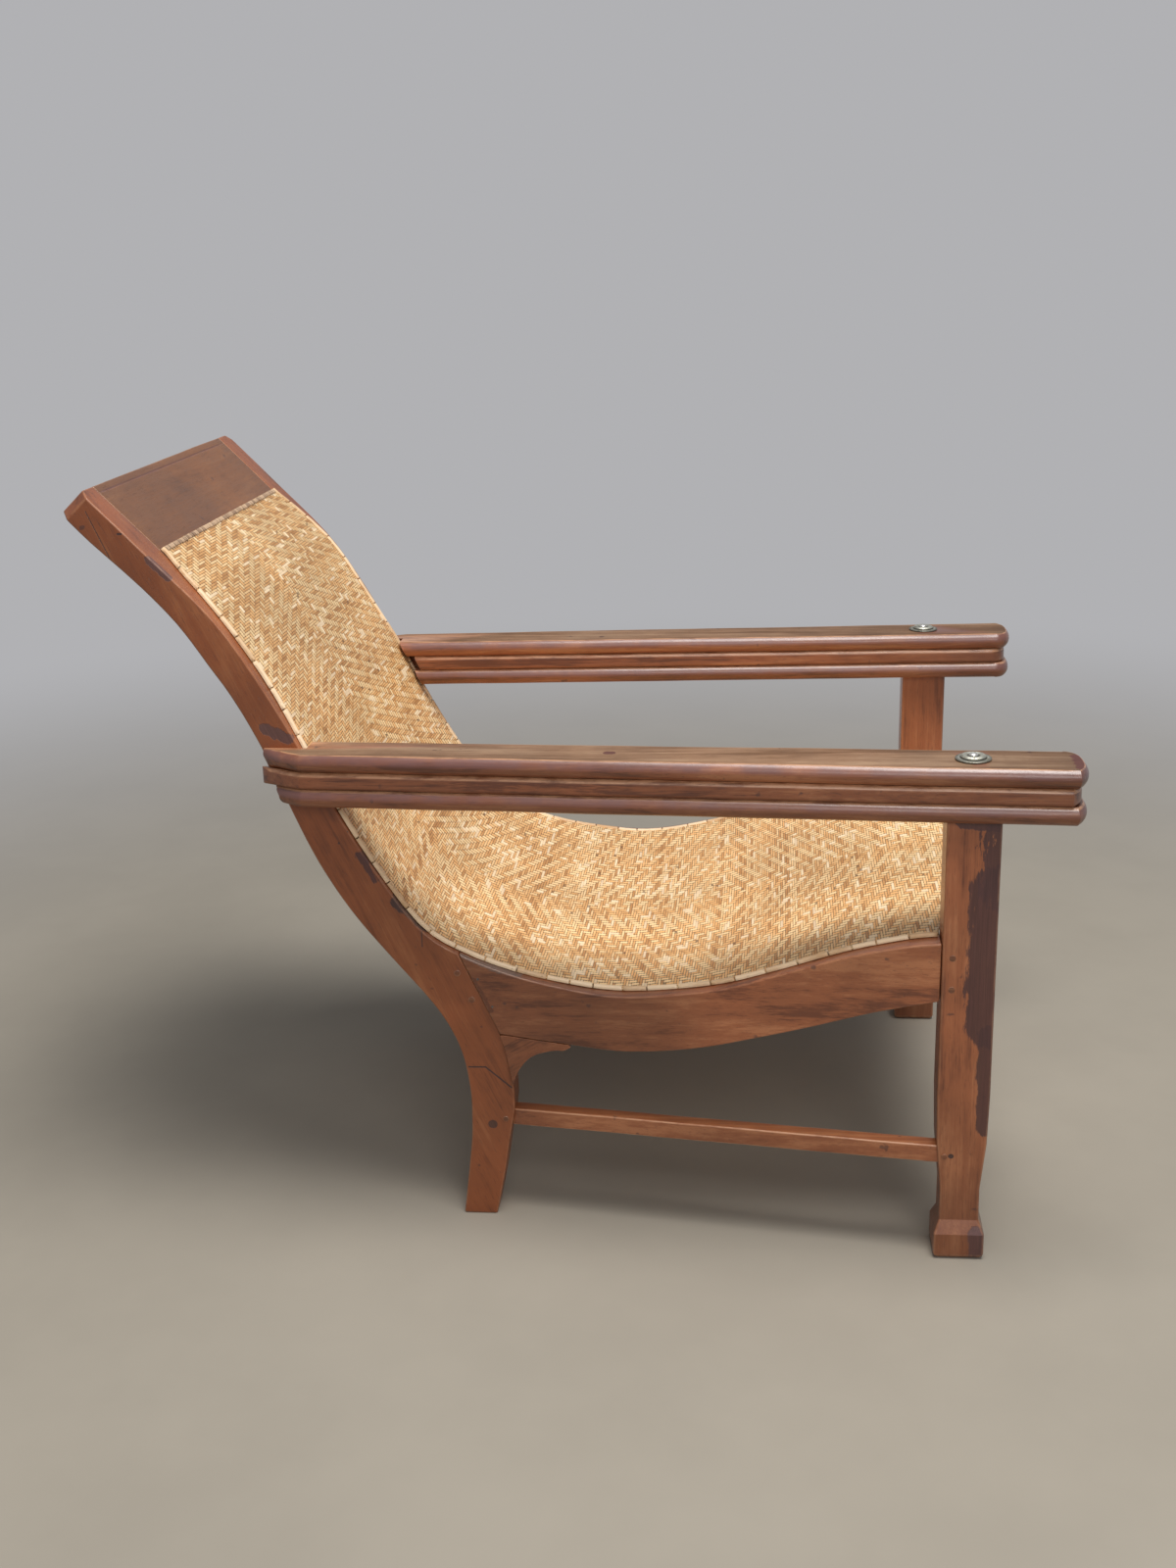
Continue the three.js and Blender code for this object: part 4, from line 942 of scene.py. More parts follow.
def drill(piece_bm, low, high, sign):
    """Cuts an upright round hole for the pivot."""
    piece = mesh_object("blank", piece_bm)
    cutter_bm = bmesh.new()
    bmesh.ops.create_cone(
        cutter_bm, cap_ends=True, segments=HOLE_SIDES, radius1=HOLE_RADIUS, radius2=HOLE_RADIUS,
        depth=high - low, matrix=Matrix.Translation((PIVOT[0] * sign, PIVOT[1], (low + high) / 2)),
    )
    cutter = mesh_object("cutter", cutter_bm)
    boolean = piece.modifiers.new("hole", "BOOLEAN")
    boolean.object, boolean.operation, boolean.solver = cutter, "DIFFERENCE", "EXACT"
    whole = piece.evaluated_get(bpy.context.evaluated_depsgraph_get())
    result = bmesh.new()
    result.from_mesh(whole.to_mesh())
    whole.to_mesh_clear()
    for used in (piece, cutter):
        mesh = used.data
        bpy.data.objects.remove(used)
        bpy.data.meshes.remove(mesh)
    return result


def arm_plank(side, name, edge, body, material, corner_end):
    arm = Arm(f"left_{name}")
    sign = SIGNS[side]
    whole = skin(arm_rings(arm, corner_end, edge), sign)
    bm = drill(whole, arm.low_z - CLEAR, arm.high_z + CLEAR, sign)
    band = WORN_AND_LIT_BANDS[name]

    # Painted sheen: the upper part of the plank's rounded side, away from the stile, is marked for the
    # purple-brown tint.
    def handled(vertex):
        share = (vertex.co.z - arm.low_z) / (arm.high_z - arm.low_z)
        by_stile = abs(vertex.co.x) < arm.stile_side + 0.001 and vertex.co.y > arm.notch[0] - CLEAR
        if by_stile or vertex.normal.z > FLAT_RISE:
            return 0.0
        return min(1.0, max(0.0, (share - 0.38) / 0.25))

    # Marks the top arris and a band below it as worn, with a painted highlight.
    def worn(vertex):
        rises = [face.normal.z for face in vertex.link_faces]
        at_arris = max(rises) > 0.99 and 0.5 < min(rises) < 0.99
        on_band = vertex.co.z > arm.high_z - band and 0.25 < vertex.normal.z < 0.995
        return float(at_arris or on_band)

    def on_top(vertex):
        return float(vertex.normal.z > FLAT_RISE)
    finish_wood(
        f"{side}_{name}", bm, material, body, ARM_SHARP_ANGLE, wear=worn,
        handled=handled if edge is ARM_EDGE else None, rubbed=on_top if name == "armrest" else None,
    )


# Cross pieces

def crest_board(material):
    lowest = cut_points("crest_board", 0, 0.1)[:, 2].min()
    upper = stile_front[nearest(stile_front, crest_point):]
    length = next(s for s in BOARD_LENGTHS
                  if at_lengths(upper, [s])[0][1] < lowest + BOARD_END)
    places = np.unique(np.concatenate([
        np.linspace(0, length, BOARD_ROWS),
        BEAD_DROP + BEAD_WIDTH * BEAD_ROWS,
    ]))
    front = at_lengths(upper, places)
    tangent = np.gradient(front, places, axis=0)
    tangent /= np.linalg.norm(tangent, axis=1)[:, None]
    back = front + np.stack([-tangent[:, 1], tangent[:, 0]], 1) * BOARD_THICKNESS
    half = STILE_INNER - BOARD_GAP
    rings = []
    for f, r in zip(front, back):
        ring = [(x, *f) for x in np.linspace(-half, half, BOARD_COLUMNS)]
        ring += [(half, *(f + (r - f) * t)) for t in BETWEEN]
        ring += [(x, *r) for x in np.linspace(half, -half, BOARD_COLUMNS)]
        ring += [(-half, *(r + (f - r) * t)) for t in BETWEEN]
        rings.append(ring)
    bm = skin(rings)
    round_edges(bm, ARRIS * 0.9)
    bead = at_lengths(upper, [BEAD_DROP])[0]
    direction = at_lengths(upper, [BEAD_DROP + 0.002])[0] - bead
    direction /= np.linalg.norm(direction)
    outward = np.array((direction[1], -direction[0]))

    def groove(vertex):
        away = np.array((vertex.co.y, vertex.co.z)) - bead
        if abs(away @ outward) > 0.003 or abs(vertex.co.x) > half - BEAD_MARGIN:
            return 0
        return math.exp(-((away @ direction) / BEAD_WIDTH) ** 2)

    def scribe(target):
        for vertex in target.verts:
            sink = groove(vertex) * BEAD_DEPTH
            vertex.co.y -= outward[0] * sink
            vertex.co.z -= outward[1] * sink
    # The scribed line is painted darker: painted shade in the groove.
    finish_wood("crest_board", bm, material, change=scribe, handled=groove)


def soften(node, material):
    """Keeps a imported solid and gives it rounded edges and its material."""
    piece = NODES[node]
    bevel = piece.modifiers.new("arris", "BEVEL")
    bevel.width, bevel.limit_method = ARRIS, "ANGLE"
    bevel.segments, angle = SOFT_ARRIS
    bevel.angle_limit = math.radians(angle)
    piece.data.materials.clear()
    piece.data.materials.append(material)


# Metal and pegs

def lathe(side, name, profile, centre, material, slot="steel", upright=True, count=TURNED_SIDES,
          handled=None):
    """A turned piece from (radius, height) pairs, round an upright or a sideways axis."""
    rings = []
    for radius, height in profile:
        ring = []
        for k in range(count):
            angle = 2 * math.pi * k / count
            a, b = radius * math.cos(angle), radius * math.sin(angle)
            spot = (a, b, height) if upright else (height, a, b)
            ring.append([c + s for c, s in zip(centre, spot)])
        rings.append(ring)
    bm = skin(rings, SIGNS[side])
    finish(f"{side}_{name}", "turned", bm, material, slot, TURNED_SHARP_ANGLE,
           wear=edge_wear, handled=handled)


def pivot(side, bright, dull):
    """The bolt and its two washers, whose heights are measured from the armrest's top."""
    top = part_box("left_armrest")[1].z
    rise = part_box("left_pivot_bolt")[1].z - top - HEAD_BASE - HEAD_RIM
    dome = []
    for step in range(HEAD_STEPS + 1):
        angle = math.pi / 2 * step / HEAD_STEPS
        dome.append((HEAD_RADIUS * math.cos(angle), HEAD_BASE + HEAD_RIM + rise * math.sin(angle)))

    def away(vertex):
        return math.hypot(abs(vertex.co.x) - PIVOT[0], vertex.co.y - PIVOT[1])
    inner, outer = CUP_BRIGHT
    # Painted shade on the washers: the flat washer's rim, and the cup washer outside its bright band.
    for name, profile, material, handled in (
        ("flat_washer", FLAT_WASHER, dull, lambda v: 0.6 if away(v) > WASHER_RIM else 0.0),
        ("cup_washer", CUP_WASHER, dull, lambda v: 0.0 if inner <= away(v) <= outer else 0.9),
        ("pivot_bolt", BOLT + dome, bright, None),
    ):
        raised = [(max(r, TINY), top + h) for r, h in profile]
        lathe(side, name, raised, (*PIVOT, 0), material, handled=handled)


def side_pins(side, peg_wood, iron):
    """Pegs, nails and screws, which lie across the chair."""
    kinds = ("stile_peg", "leg_peg", "stretcher_peg", "rail_nail", "arm_screw")
    for name in (f"{kind}_{number}" for kind in kinds for number in (1, 2)):
        low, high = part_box(f"left_{name}")
        radius, length = (high.z - low.z) / 2, high.x - low.x
        if "screw" in name:
            shape = [(TINY, 0.0008), (radius * 0.2, 0.0008), (radius * 0.5, 0.0003), (radius * 0.95, 0),
                     (radius, 0.0003), (0.0022, 0.0026), (0.0022, length - 0.004), (TINY, length)]
        elif "nail" in name:
            shape = [(TINY, 0), (radius * 0.7, 0.00015), (radius, 0.0005), (radius * 0.96, 0.0008),
                     (0.0016, 0.0009), (0.0016, 0.0225), (TINY, 0.024)]
        else:
            shape = [(TINY, 0), (radius * 0.6, 0.00004), (radius * 0.9, 0.0002), (radius, 0.0006),
                     (radius, length - 0.0005), (TINY, length)]
        if "screw" in name:
            profile = [(r, low.x + h) for r, h in shape]
        else:
            profile = [(r, high.x - h) for r, h in shape[::-1]]
        looks = (peg_wood, "peg_wood") if "peg" in name else (iron, "steel")
        lathe(side, name, profile, (0, *middle(f"left_{name}")[1:]), *looks, False, PIN_SIDES)


# Seat

class Seat:
    """Places on the mat: how far down the seat line, how far across, and how far above the wood."""

    def __init__(self):
        rail = cut_points("front_seat_rail", 0, 0.1)[:, 1:]
        rail = rail[rail[:, 1] > rail[:, 1].max() - RAIL_TOP_BAND]
        rail = rail[np.argsort(-rail[:, 0])]
        stile = stile_front[: nearest(stile_front, knee) + 1]
        self.line = np.concatenate([stile, rail_top[1:], rail])
        total = lengths_of(self.line)
        rail_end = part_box("front_seat_rail")[1]
        self.start = MAT_TOP_DROP
        self.finish = total[nearest(self.line, (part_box("woven_panel")[0].y, rail_end.z))]
        self.sag_end = np.interp(-rail_end.y, -self.line[:, 0], total)
        self.leg_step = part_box("left_front_leg")[1].y + LEG_GAP
        self.front_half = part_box("front_binding")[1].x + MAT_EDGE_OUT
        bm = merged("left_edge_binding")
        rows = {}
        for vertex in bm.verts:
            x, y, _ = vertex.co
            rows[round(y, 5)] = max(x, rows.get(round(y, 5), 0))
        bm.free()
        self.edge_y = np.array(sorted(rows))
        self.edge_x = np.array([rows[y] for y in sorted(rows)]) + MAT_EDGE_OUT
        self.fine = np.linspace(0, total[-1], SEAT_SAMPLES)
        self.points = at_lengths(self.line, self.fine)
        slopes = np.gradient(self.points, axis=0)
        kernel = np.hanning(SMOOTHING)
        kernel /= kernel.sum()
        for k in range(2):
            padded = np.pad(slopes[:, k], SMOOTHING // 2, mode="edge")
            slopes[:, k] = np.convolve(padded, kernel, mode="valid")
        self.slopes = slopes / np.linalg.norm(slopes, axis=1)[:, None]

    def half_width(self, y):
        behind = np.interp(y, self.edge_y, self.edge_x)
        return np.where(y < self.leg_step, self.front_half, behind)

    def base(self, s):
        """The seat line's y and z, and those of the direction out of the seat."""
        y, z, ty, tz = (
            np.interp(s, self.fine, line[:, k]) for line in (self.points, self.slopes) for k in (0, 1)
        )
        return y, z, tz, -ty

    def sag(self, s, x, y):
        along = np.clip((s - SAG_START) / (self.sag_end - SAG_START), 0, 1)
        across = np.clip(np.abs(x) / (STILE_INNER + rail_offset(y) - 0.001), 0, 1)
        return MAT_SAG * np.sin(np.pi * along) * (1 - across**2)

    def place(self, s, x, out):
        y, z, out_y, out_z = self.base(s)
        lift = out - self.sag(s, x, y)
        return np.stack([x + 0 * s, y + out_y * lift, z + out_z * lift], -1)


def waves(s, x):
    """Broad unevenness of the sheet, between the points of a grid of smooth noise."""
    columns = np.linspace(-WAVE_HALF, WAVE_HALF, WAVE_COLUMNS)
    grid = np.array([
        [noise.noise(Vector((p * 9, q * 9, 0.3))) for p in columns]
        for q in np.linspace(0, WAVE_LENGTH, WAVE_ROWS)
    ])
    q = np.clip(s / WAVE_LENGTH * (WAVE_ROWS - 1), 0, WAVE_ROWS - 1.001)
    p = np.clip((x + WAVE_HALF) / (2 * WAVE_HALF) * (WAVE_COLUMNS - 1), 0, WAVE_COLUMNS - 1.001)
    q0, p0 = q.astype(int), p.astype(int)
    fq, fp = q - q0, p - p0
    near, far = (grid[row, p0] * (1 - fp) + grid[row, p0 + 1] * fp for row in (q0, q0 + 1))
    return near * (1 - fq) + far * fq


def weave_heights(a, b):
    """Heights of the weave, from 0 to 1, at half steps across and down the seat."""
    i_low, i_high = np.floor(a / 2).astype(int), np.ceil(a / 2).astype(int)
    j_low, j_high = np.floor(b / 2).astype(int), np.ceil(b / 2).astype(int)
    odd_a, odd_b = a % 2 == 1, b % 2 == 1

    def over(i, j):
        return (np.abs(i) + np.abs(j)) % (2 * FLOAT) < FLOAT
    height = np.where((np.abs(i_low) + np.abs(j_low)) % FLOAT == 1, 1.0, 0.86)
    across_joint = ~over(i_low, j_low) & ~over(i_high, j_low)
    along_joint = over(i_low, j_low) & over(i_low, j_high)
    for here, joint in ((odd_a & ~odd_b, across_joint), (~odd_a & odd_b, along_joint)):
        height = np.where(here, np.where(joint, JOINT_HEIGHT, CROSSING_HEIGHT), height)
    height = np.where(odd_a & odd_b, HOLE_HEIGHT, height)
    rough = np.random.default_rng(7).normal(0, 0.05, height.shape)
    return np.clip(height + rough, 0, 1.1)


def woven_sheet(seat, material):
    """One continuous sheet with the relief of its weave on the upper face."""
    half = LONG_STRIP / 2
    rows = int((seat.finish - seat.start) / STRIP) * 2
    spots = seat.start + (seat.finish - seat.start) * np.arange(rows + 1) / rows
    y = seat.base(spots)[0]
    width = seat.half_width(y)
    reach = (np.ceil(width / half / 2 - 1e-6) * 2).astype(int)
    most = reach.max()
    a, b = np.meshgrid(np.arange(-most, most + 1), np.arange(rows + 1))
    down = b - int(round((WEAVE_CENTRE - seat.start) / STRIP)) * 2
    height = weave_heights(a, down)
    x = np.clip(a * half, -width[:, None], width[:, None])
    s = spots[b]
    shift = waves(s, x) * seat.sag(s, x, y[b]) / MAT_SAG * MAT_WAVE
    top = seat.place(s, x, MAT_FACE + (height - 0.5) * RELIEF + shift)
    bottom = seat.place(s, x, MAT_BASE + shift)
    inside = np.clip(a, -reach[b], reach[b])
    index = b * a.shape[1] + inside + most
    count = index.max() + 1
    faces = []

    def add(corners):
        for group in np.stack(corners, -1).reshape(-1, len(corners)).tolist():
            kept = list(dict.fromkeys(group))
            if len(kept) > 2:
                faces.append(kept)
    add((index[:-1, :-1], index[1:, :-1], index[1:, 1:], index[:-1, 1:]))
    coarse = count + index[::2, ::2]
    add((coarse[:-1, :-1], coarse[:-1, 1:], coarse[1:, 1:], coarse[1:, :-1]))
    borders = ((np.s_[:, 0], 1), (np.s_[:, -1], -1), (np.s_[0], -1), (np.s_[-1], 1))
    for border, order in borders:
        t, c = index[border], coarse[border]
        add((t[:-2:2], c[:-1], c[1:], t[2::2], t[1::2])[::order])
    used = np.unique(np.concatenate([np.array(f) for f in faces]))
    renumber = np.full(count * 2, -1)
    renumber[used] = np.arange(len(used))
    points, weave, depth = np.zeros((count * 2, 3)), np.zeros((count * 2, 3)), np.zeros(count * 2)
    own = inside == a
    for first, surface in ((0, top), (count, bottom)):
        points[first + index[own]] = surface[own]
        below = np.full(a.shape, float(first > 0))
        weave[first + index[own]] = np.stack([a / 2, down / 2, below], -1)[own]
    depth[index[own]] = 1 - height[own]
    mesh = bpy.data.meshes.new("woven_seat")
    mesh.from_pydata(points[used].tolist(), [], [[int(renumber[k]) for k in f] for f in faces])
    mesh.update()
    store(mesh, "weave", weave[used])
    store(mesh, "depth", depth[used])
    mesh.polygons.foreach_set("use_smooth", [True] * len(mesh.polygons))
    mesh.materials.append(material)
    piece = link("woven_seat", mesh)
    register(piece, "cane", "woven_panel")
    area = float((width[:-1] + width[1:]).sum() * (spots[1] - spots[0]))
    length = float(seat.finish - seat.start)


def strip_segment(whole, centres, sides, ups, width, low, high, shade, sign=1):
    """Adds one closed length of a domed strip, thinner at its ends, where it is marked."""
    rings = []
    for k, (centre, side, up) in enumerate(zip(centres, sides, ups)):
        wide, thick = (0.9, 0.55) if k in (0, len(centres) - 1) else (1, 1)
        rings.append([
            centre + side * across * width * wide + up * (low + (high - low) * lift * thick)
            for across, lift in STRIP_SHAPE
        ])
    part = skin(rings, sign)
    joint = part.verts.layers.float.new("joint")
    slat = part.verts.layers.float.new("slat")
    for vertex in part.verts:
        vertex[slat] = shade
    part.verts.ensure_lookup_table()
    count = len(STRIP_SHAPE)
    for k in (*range(count), *range(-count, 0)):
        part.verts[k][joint] = 1
    mesh = bpy.data.meshes.new("segment")
    part.to_mesh(mesh)
    part.free()
    whole.from_mesh(mesh)
    bpy.data.meshes.remove(mesh)


def segment_places(start, end, shortest, longest, step, rng):
    """Places along each length of a strip laid from start to end."""
    at = start
    while at < end - 0.001:
        length = min(rng.uniform(shortest, longest), end - at)
        if end - at - length < shortest * 0.5:
            length = end - at
        spots = np.linspace(at, at + length - BINDING_GAP, max(4, int(length / step)))
        yield np.insert(spots, [1, len(spots) - 1], [spots[0] + STRIP_END, spots[-1] - STRIP_END])
        at += length


def finish_strip(node, bm, material):
    finish(node, "strip", bm, material, "rattan", STRIP_SHARP_ANGLE)


def edge_binding(seat, side, seed, material):
    """A strip of lengths down the mat's side."""
    rng = np.random.default_rng(seed)
    end = float(np.interp(-seat.leg_step, -seat.line[:, 0], lengths_of(seat.line))) - STRIP_END
    bm = bmesh.new()
    for spots in segment_places(seat.start, end, *SEGMENT_RANGE, EDGE_STEP, rng):
        y, z, out_y, out_z = seat.base(spots)
        centres = np.stack([seat.half_width(y) - EDGE_INSET, y, z], 1)
        ups = np.stack([0 * y, out_y, out_z], 1)
        sides = np.tile((1.0, 0, 0), (len(y), 1))
        strip_segment(bm, centres, sides, ups, EDGE_WIDTH * rng.uniform(0.94, 1), EDGE_BASE,
                      BINDING_TOP + rng.uniform(-0.0002, 0.0001), rng.uniform(0, 1), SIGNS[side])
    finish_strip(f"{side}_edge_binding", bm, material)


def cross_binding(seat, node, at, material, rng):
    """A strip of short lengths across the mat's end."""
    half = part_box(node)[1].x
    bm = bmesh.new()
    for x in segment_places(-half, half, *SHORT_SEGMENTS, CROSS_STEP, rng):
        y, z, out_y, out_z = seat.base(np.full(len(x), at))
        tangent = np.stack([0 * x, out_z, -out_y], 1)
        ups = np.stack([0 * x, out_y, out_z], 1)
        centres = np.stack([x, y, z], 1) + tangent * rng.uniform(-CROSS_SHIFT, CROSS_SHIFT)
        strip_segment(bm, centres, tangent, ups, CROSS_WIDTH * rng.uniform(0.92, 1), BINDING_BASE,
                      BINDING_TOP + rng.uniform(-0.0003, 0.0002), rng.uniform(0, 1))
    finish_strip(node, bm, material)


# Room

def floor_paint():
    """Pale paint, which turns into the plain background far from the chair."""
    g = new_material("floor_paint")
    place = g.place()
    mottled = g.fit(g.noise(place, 3.0, 4, 0.6), 0.3, 0.7)
    g.show_far("Emission", g.fit(g.vector("LENGTH", place), FADE_START, FADE_END))
    return g.paint({
        "Base Color": g.mix(mottled, times(FLOOR_COLOUR, 0.96), times(FLOOR_COLOUR, 1.04)),
        "Roughness": 0.85,
    })


def room():
    """A wide pale floor, with the background behind it."""
    bm = bmesh.new()
    turns = [2 * math.pi * k / FLOOR_SIDES for k in range(FLOOR_SIDES)]
    centre = bm.verts.new((0, 0, 0))
    rows = [[bm.verts.new((r * math.cos(t), r * math.sin(t), 0)) for t in turns] for r in FLOOR_RINGS]
    for k in range(FLOOR_SIDES):
        m = (k + 1) % FLOOR_SIDES
        bm.faces.new((centre, rows[0][k], rows[0][m]))
        for a, b in zip(rows, rows[1:]):
            bm.faces.new((a[k], b[k], b[m], a[m]))
    floor = mesh_object("floor", bm)
    floor.data.materials.append(floor_paint())


def area_light(name, place, target, size, power, colour):
    lamp = bpy.data.lights.new(name, "AREA")
    lamp.shape, lamp.size, lamp.size_y = "RECTANGLE", *size
    lamp.energy, lamp.color = power, colour
    made = link(name, lamp)
    made.location = place
    made.rotation_euler = (Vector(target) - Vector(place)).to_track_quat("-Z", "Y").to_euler()


def lights():
    world = bpy.data.worlds.new("plain_light")
    g = Graph(world, "Background", "World Output")
    g.paint({"Color": (*SKY_COLOUR, 1), "Strength": SKY_LIGHT})
    g.show_far("Background")
    bpy.context.scene.world = world
    area_light("overhead", (-0.70, -0.55, 4.0), (0.0, -0.1, 0.4), (1.5, 2.0), 146, (1, 0.98, 0.94))
    area_light("side_fill", (-2.9, -0.7, 2.2), (0.0, 0.0, 0.4), (1.6, 1.2), 26, (1, 0.98, 0.95))


def camera():
    yaw, pitch, roll = CAMERA_YAW, CAMERA_PITCH, CAMERA_ROLL
    ahead = Vector((math.cos(yaw) * math.cos(pitch), math.sin(yaw) * math.cos(pitch), -math.sin(pitch)))
    right = Vector((math.sin(yaw), -math.cos(yaw), 0))
    up = right.cross(ahead)
    across = right * math.cos(roll) + up * math.sin(roll)
    upward = up * math.cos(roll) - right * math.sin(roll)
    data = bpy.data.cameras.new("camera")
    data.sensor_fit, data.sensor_width = "AUTO", SENSOR
    data.lens = SENSOR * FOCAL_PIXELS / IMAGE_HEIGHT
    made = link("camera", data)
    turn = Matrix((across, upward, -ahead)).transposed().to_4x4()
    made.matrix_world = Matrix.Translation(CAMERA_PLACE) @ turn
    bpy.context.scene.camera = made


# Stain patches, and patches of painted shade and painted sheen

def stains_and_painted_light(x, *rows):
    """Stain patches and patches of painted shade and sheen at one x, from the y and z of one or two ends,
    a radius, a colour and raggedness.
    """
    return tuple(
        ((x, *ends[:2]), (x, *ends[-2:]), radius, stain, ragged)
        for *ends, radius, stain, ragged in rows
    )


def rear_ends(x):
    return {
        "armrest": stains_and_painted_light(x, (0.306, 0.577, 0.316, 0.579, 0.0085, WOOD_BARE, 0.5)),
        "leg_rest": stains_and_painted_light(x, (0.288, 0.5575, 0.308, 0.5575, 0.006, WOOD_BARE, 0.6)),
        "lower_arm_rail": stains_and_painted_light(x, (0.286, 0.541, 0.295, 0.541, 0.0075, WOOD_BARE, 0.5)),
    }


RIGHT_ENDS = rear_ends(-0.325)
RIGHT_STAINS_AND_PAINTED_LIGHT = {
    "front_leg": stains_and_painted_light(
        -0.339,
        (-0.453, 0.285, -0.453, 0.445, 0.0255, WOOD_PEELED_AND_SHADE, 1.2),
        (-0.458, 0.440, -0.460, 0.530, 0.0180, WOOD_PEELED_AND_SHADE, 3.2),
        (-0.458, 0.165, -0.456, 0.275, 0.0135, WOOD_PEELED_AND_SHADE, 1.1),
        (-0.463, 0.090, -0.467, 0.170, 0.0085, WOOD_PEELED_AND_SHADE, 0.5),
        (-0.460, 0.518, -0.420, 0.522, 0.0105, WOOD_PEELED_AND_SHADE, 0.7),
        (-0.4194, 0.1268, 0.0034, WOOD_BLACK, 0.6),
        (-0.452, 0.006, -0.450, 0.030, 0.0110, WOOD_PURPLE, 0.7),
    ),
    "side_rail": stains_and_painted_light(
        -0.274,
        (0.134, 0.340, 0.070, 0.312, 0.0075, WOOD_BARE, 1.2),
        (0.120, 0.300, 0.102, 0.268, 0.0060, WOOD_DARK, 1.5),
    ),
    "stile": stains_and_painted_light(
        -0.268,
        # Painted shade on the stile's front face beside the mat's edge, where the mat and arm shade it.
        (0.2435, 0.4540, 0.2252, 0.4235, 0.0068, WOOD_PEELED_AND_SHADE, 1.3),
        (0.2040, 0.3980, 0.1700, 0.3680, 0.0092, WOOD_BLACK, 1.3),
    ) + stains_and_painted_light(
        -0.2738,
        # Painted sheen: a purplish patch for the glossy finish's reflection.
        (0.4506, 0.7912, 0.4330, 0.7745, 0.0058, WOOD_PAINTED_SHEEN_PATCH, 1.8),
        (0.4835, 0.8203, 0.4800, 0.8203, 0.0013, WOOD_BLACK, 0.7),
        (0.5167, 0.8451, 0.4952, 0.7938, 0.0006, WOOD_PEG, 0.5),
        (0.1763, 0.3670, 0.1765, 0.3440, 0.0008, WOOD_PEG, 0.4),
        (0.2649, 0.4684, 0.0014, WOOD_PEG, 0.6),
        (0.2536, 0.4823, 0.0014, WOOD_PEG, 0.6),
        (0.1047, 0.1193, 0.0056, WOOD_PEG, 0.5),
        (0.1297, 0.1930, 0.1102, 0.1934, 0.0010, WOOD_BLACK, 0.3),
        (0.1102, 0.1934, 0.0806, 0.1674, 0.0010, WOOD_BLACK, 0.3),
        # Painted sheen: a purplish patch for the glossy finish's reflection.
        (0.3142, 0.5900, 0.3390, 0.6020, 0.0070, WOOD_PAINTED_SHEEN_PATCH, 1.8),
    ),
    "armrest": (
        ((-0.302, -0.5395, 0.575), (-0.340, -0.5400, 0.575), 0.0110, WOOD_PURPLE, 1.2),
        *stains_and_painted_light(-0.290, (-0.043, 0.581, -0.047, 0.581, 0.0055, WOOD_PURPLE, 0.8)),
        *stains_and_painted_light(-0.318, (0.296, 0.581, 0.290, 0.581, 0.0050, WOOD_PURPLE, 0.8)),
        *RIGHT_ENDS["armrest"],
    ),
    "leg_rest": (
        *stains_and_painted_light(-0.355, (-0.393, 0.551, -0.434, 0.551, 0.0048, WOOD_PURPLE, 0.7)),
        *stains_and_painted_light(
            -0.335,
            (-0.067, 0.552, 0.0026, WOOD_BLACK, 0.5),
            (-0.090, 0.550, 0.0026, WOOD_BLACK, 0.5),
            (0.2368, 0.5599, 0.0018, WOOD_BLACK, 0.5),
        ),
        *RIGHT_ENDS["leg_rest"],
    ),
    "lower_arm_rail": RIGHT_ENDS["lower_arm_rail"],
}
LEFT_STAINS_AND_PAINTED_LIGHT = {
    "front_leg": stains_and_painted_light(
        0.339,
        (-0.462, 0.300, -0.462, 0.400, 0.0120, WOOD_PEELED_AND_SHADE, 1.1),
        (-0.460, 0.522, -0.430, 0.522, 0.0070, WOOD_PEELED_AND_SHADE, 0.8),
    ),
    "stile": (
        *stains_and_painted_light(0.2738, (0.1047, 0.1193, 0.0052, WOOD_PEG, 0.5)),
        # Painted shade on the stile's front face beside the mat's edge.
        *stains_and_painted_light(0.2700, (0.2160, 0.4130, 0.1900, 0.3850, 0.0030, WOOD_BLACK, 1.0)),
    ),
    **rear_ends(0.325),
}
STAINS_AND_PAINTED_LIGHT = {"left": LEFT_STAINS_AND_PAINTED_LIGHT, "right": RIGHT_STAINS_AND_PAINTED_LIGHT}

# How far a piece's grain is turned, in degrees
ALONG_SEAT = (2.7, 0, -90)
UPRIGHT = (-90, 0, -90)
ALONG_STILE = (-65.5, 0, -90)
ALONG_ARM = (0, 0, -90)
ALONG_BRACKET = (30, 0, -90)
ALONG_CHAIR_WIDTH = (0, 0, 0)


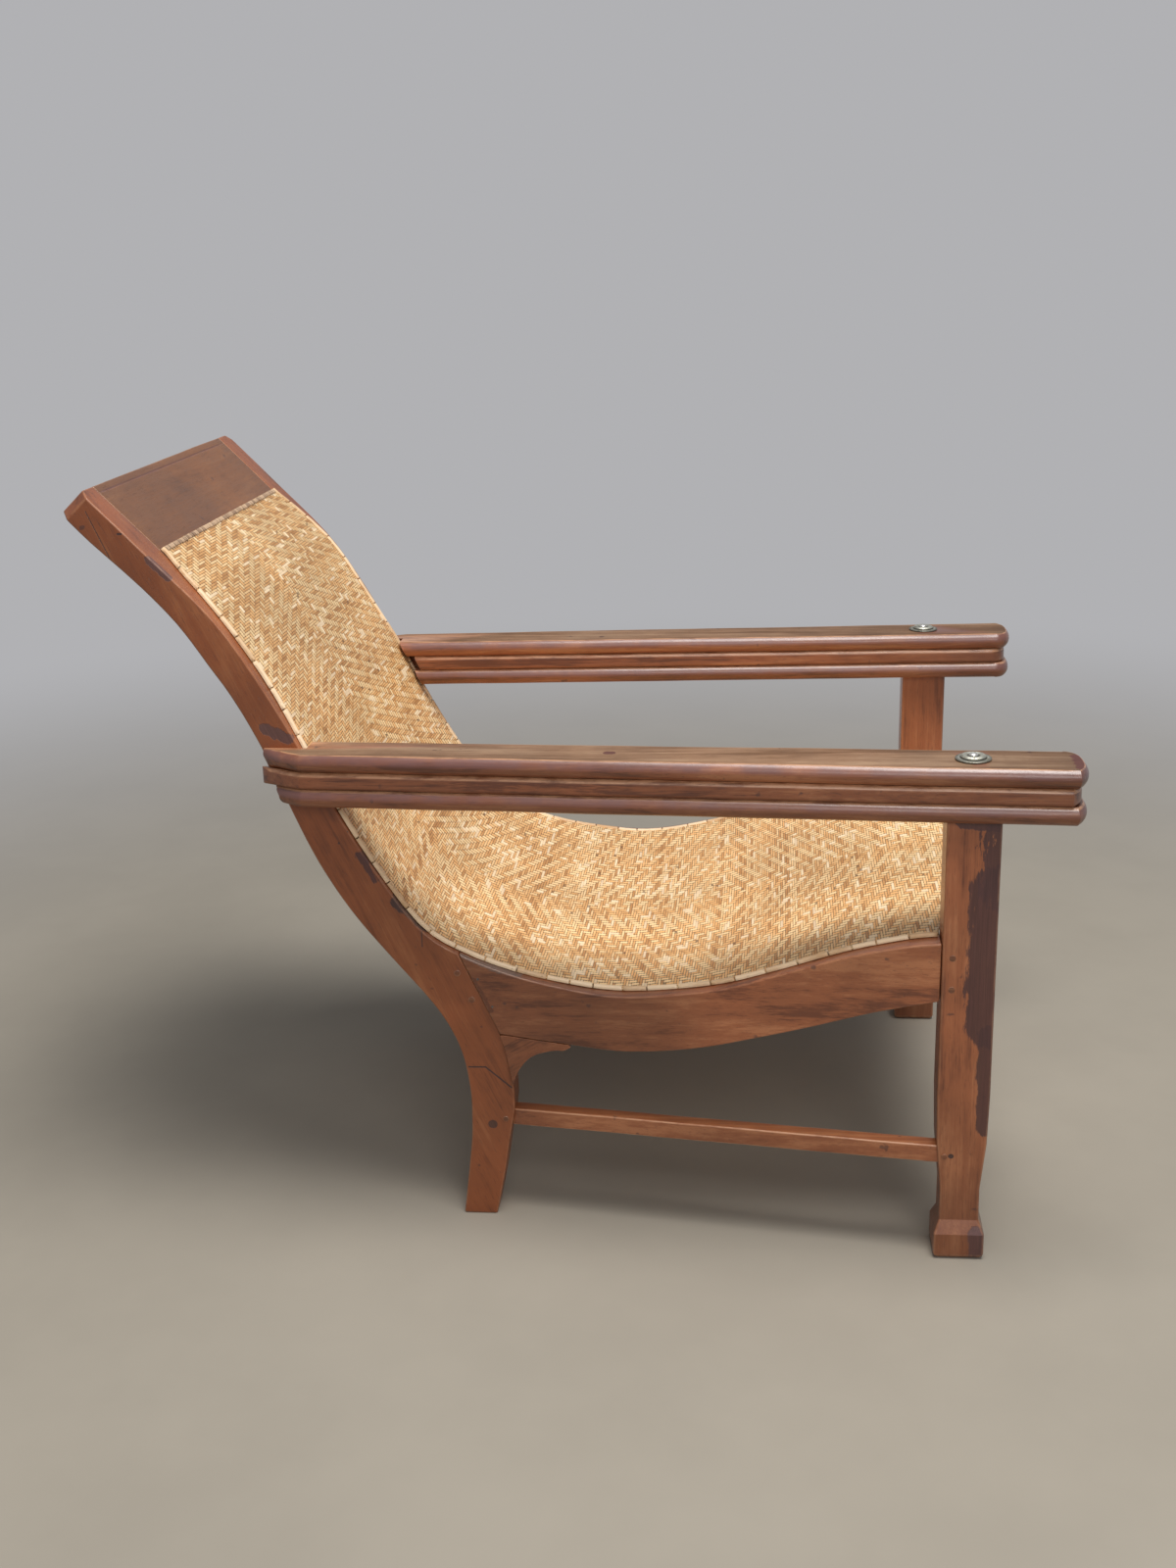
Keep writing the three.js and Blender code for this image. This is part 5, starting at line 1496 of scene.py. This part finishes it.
def build():
    armrest = Arm("left_armrest")
    corner_end = armrest.at(armrest.end, armrest.high_z) + REAR_PROUD
    dull = steel("dull_steel", (0.50, 0.50, 0.44), 0.40, (0.22, 0.20, 0.15))
    bright = steel("bright_steel", (0.78, 0.77, 0.74), 0.22, (0.42, 0.40, 0.37))
    dark_iron = steel("dark_iron", (0.20, 0.18, 0.17), 0.5, (0.09, 0.06, 0.05))
    peg_wood = wood("peg_end_grain", ALONG_ARM, 3.1, 0.62)
    strip = rattan("pale_rattan", (0.95, 0.72, 0.48), (0.62, 0.38, 0.19), (900, 90, 90))
    border = rattan("folded_cane", (0.56, 0.38, 0.24), (0.27, 0.16, 0.095), (60, 700, 700))
    for side, seed in (("left", 1.0), ("right", 3.3)):
        def teak(title, turn, offset, tone, stained=None, **looks):
            patches = STAINS_AND_PAINTED_LIGHT[side].get(stained, ())
            return wood(f"teak_{side}_{title}", turn, seed + offset, tone, patches, **looks)
        sawn(side, "stile", stile_rings(), teak(
            "stile", ALONG_STILE, 0, 0.95, "stile", colours=STILE_COLOURS, figure=0.55, gloss=0.25,
        ))
        # The rail's ramp paints shade: lighter at the front, darker towards the rear under the arm.
        sawn(side, "side_rail", rail_rings(), teak(
            "rail", ALONG_SEAT, 0.3, 0.9, "side_rail", ramp=(1, (-0.30, 1.32), (0.10, 0.76)),
        ))
        sawn(side, "knee_bracket", bracket_rings(), teak("bracket", ALONG_BRACKET, 0.5, 0.78), ARRIS * 0.7)
        # The leg's ramp paints shade: darker towards the floor.
        sawn(side, "front_leg", leg_rings(), teak(
            "leg", UPRIGHT, 0.7, 1.06, "front_leg", figure=0.7, ramp=(2, (0.03, 0.68), (0.22, 1.14)),
        ), *LEG_ROUNDING, sharp=LEG_SHARP_ANGLE)
        sawn(side, "side_stretcher", stretcher_rings(), teak(
            "stretcher", ALONG_ARM, 0.9, 1.0, wear=STRONG_WEAR_HIGHLIGHT,
        ), ARRIS * 0.9)
        for name, edge, body, rubbed, tone in (
            ("armrest", ARM_EDGE, BODY, TOP_WORN_SHEEN_COLOURS, 0.95),
            ("leg_rest", REST_EDGE, f"{side}_rest", None, 0.92),
            ("lower_arm_rail", ARM_EDGE, BODY, None, 0.80),
        ):
            seed += 0.17
            arm_plank(side, name, edge, body, teak(
                name, ALONG_ARM, 1.1, tone, name, wear=STRONG_WEAR_HIGHLIGHT, rubbed=rubbed, gloss=ARM_GLOSS,
                figure=1.3, ramp=(1, (-0.54, 0.78), (-0.30, 1.0)),
            ), corner_end)
        pivot(side, bright, dull)
        side_pins(side, peg_wood, dark_iron)
    crest_board(wood(
        "teak_crest", ALONG_CHAIR_WIDTH, 8.2, 0.95, colours=CREST_COLOURS, figure=0.5, gloss=0.1,
    ))
    soften("front_seat_rail", wood("teak_front_rail", ALONG_CHAIR_WIDTH, 9.4))
    soften("back_cross_rail", wood("teak_back_rail", ALONG_CHAIR_WIDTH, 9.9))
    seat = Seat()
    woven_sheet(seat, cane("woven_cane"))
    edge_binding(seat, "left", 11, strip)
    edge_binding(seat, "right", 12, strip)
    rng = np.random.default_rng(21)
    cross_binding(seat, "top_binding", seat.start + CROSS_WIDTH / 2, border, rng)
    cross_binding(seat, "front_binding", seat.finish - CROSS_WIDTH / 2, border, rng)
    room()
    lights()
    camera()
    bpy.context.scene.view_settings.view_transform = "Standard"


build()
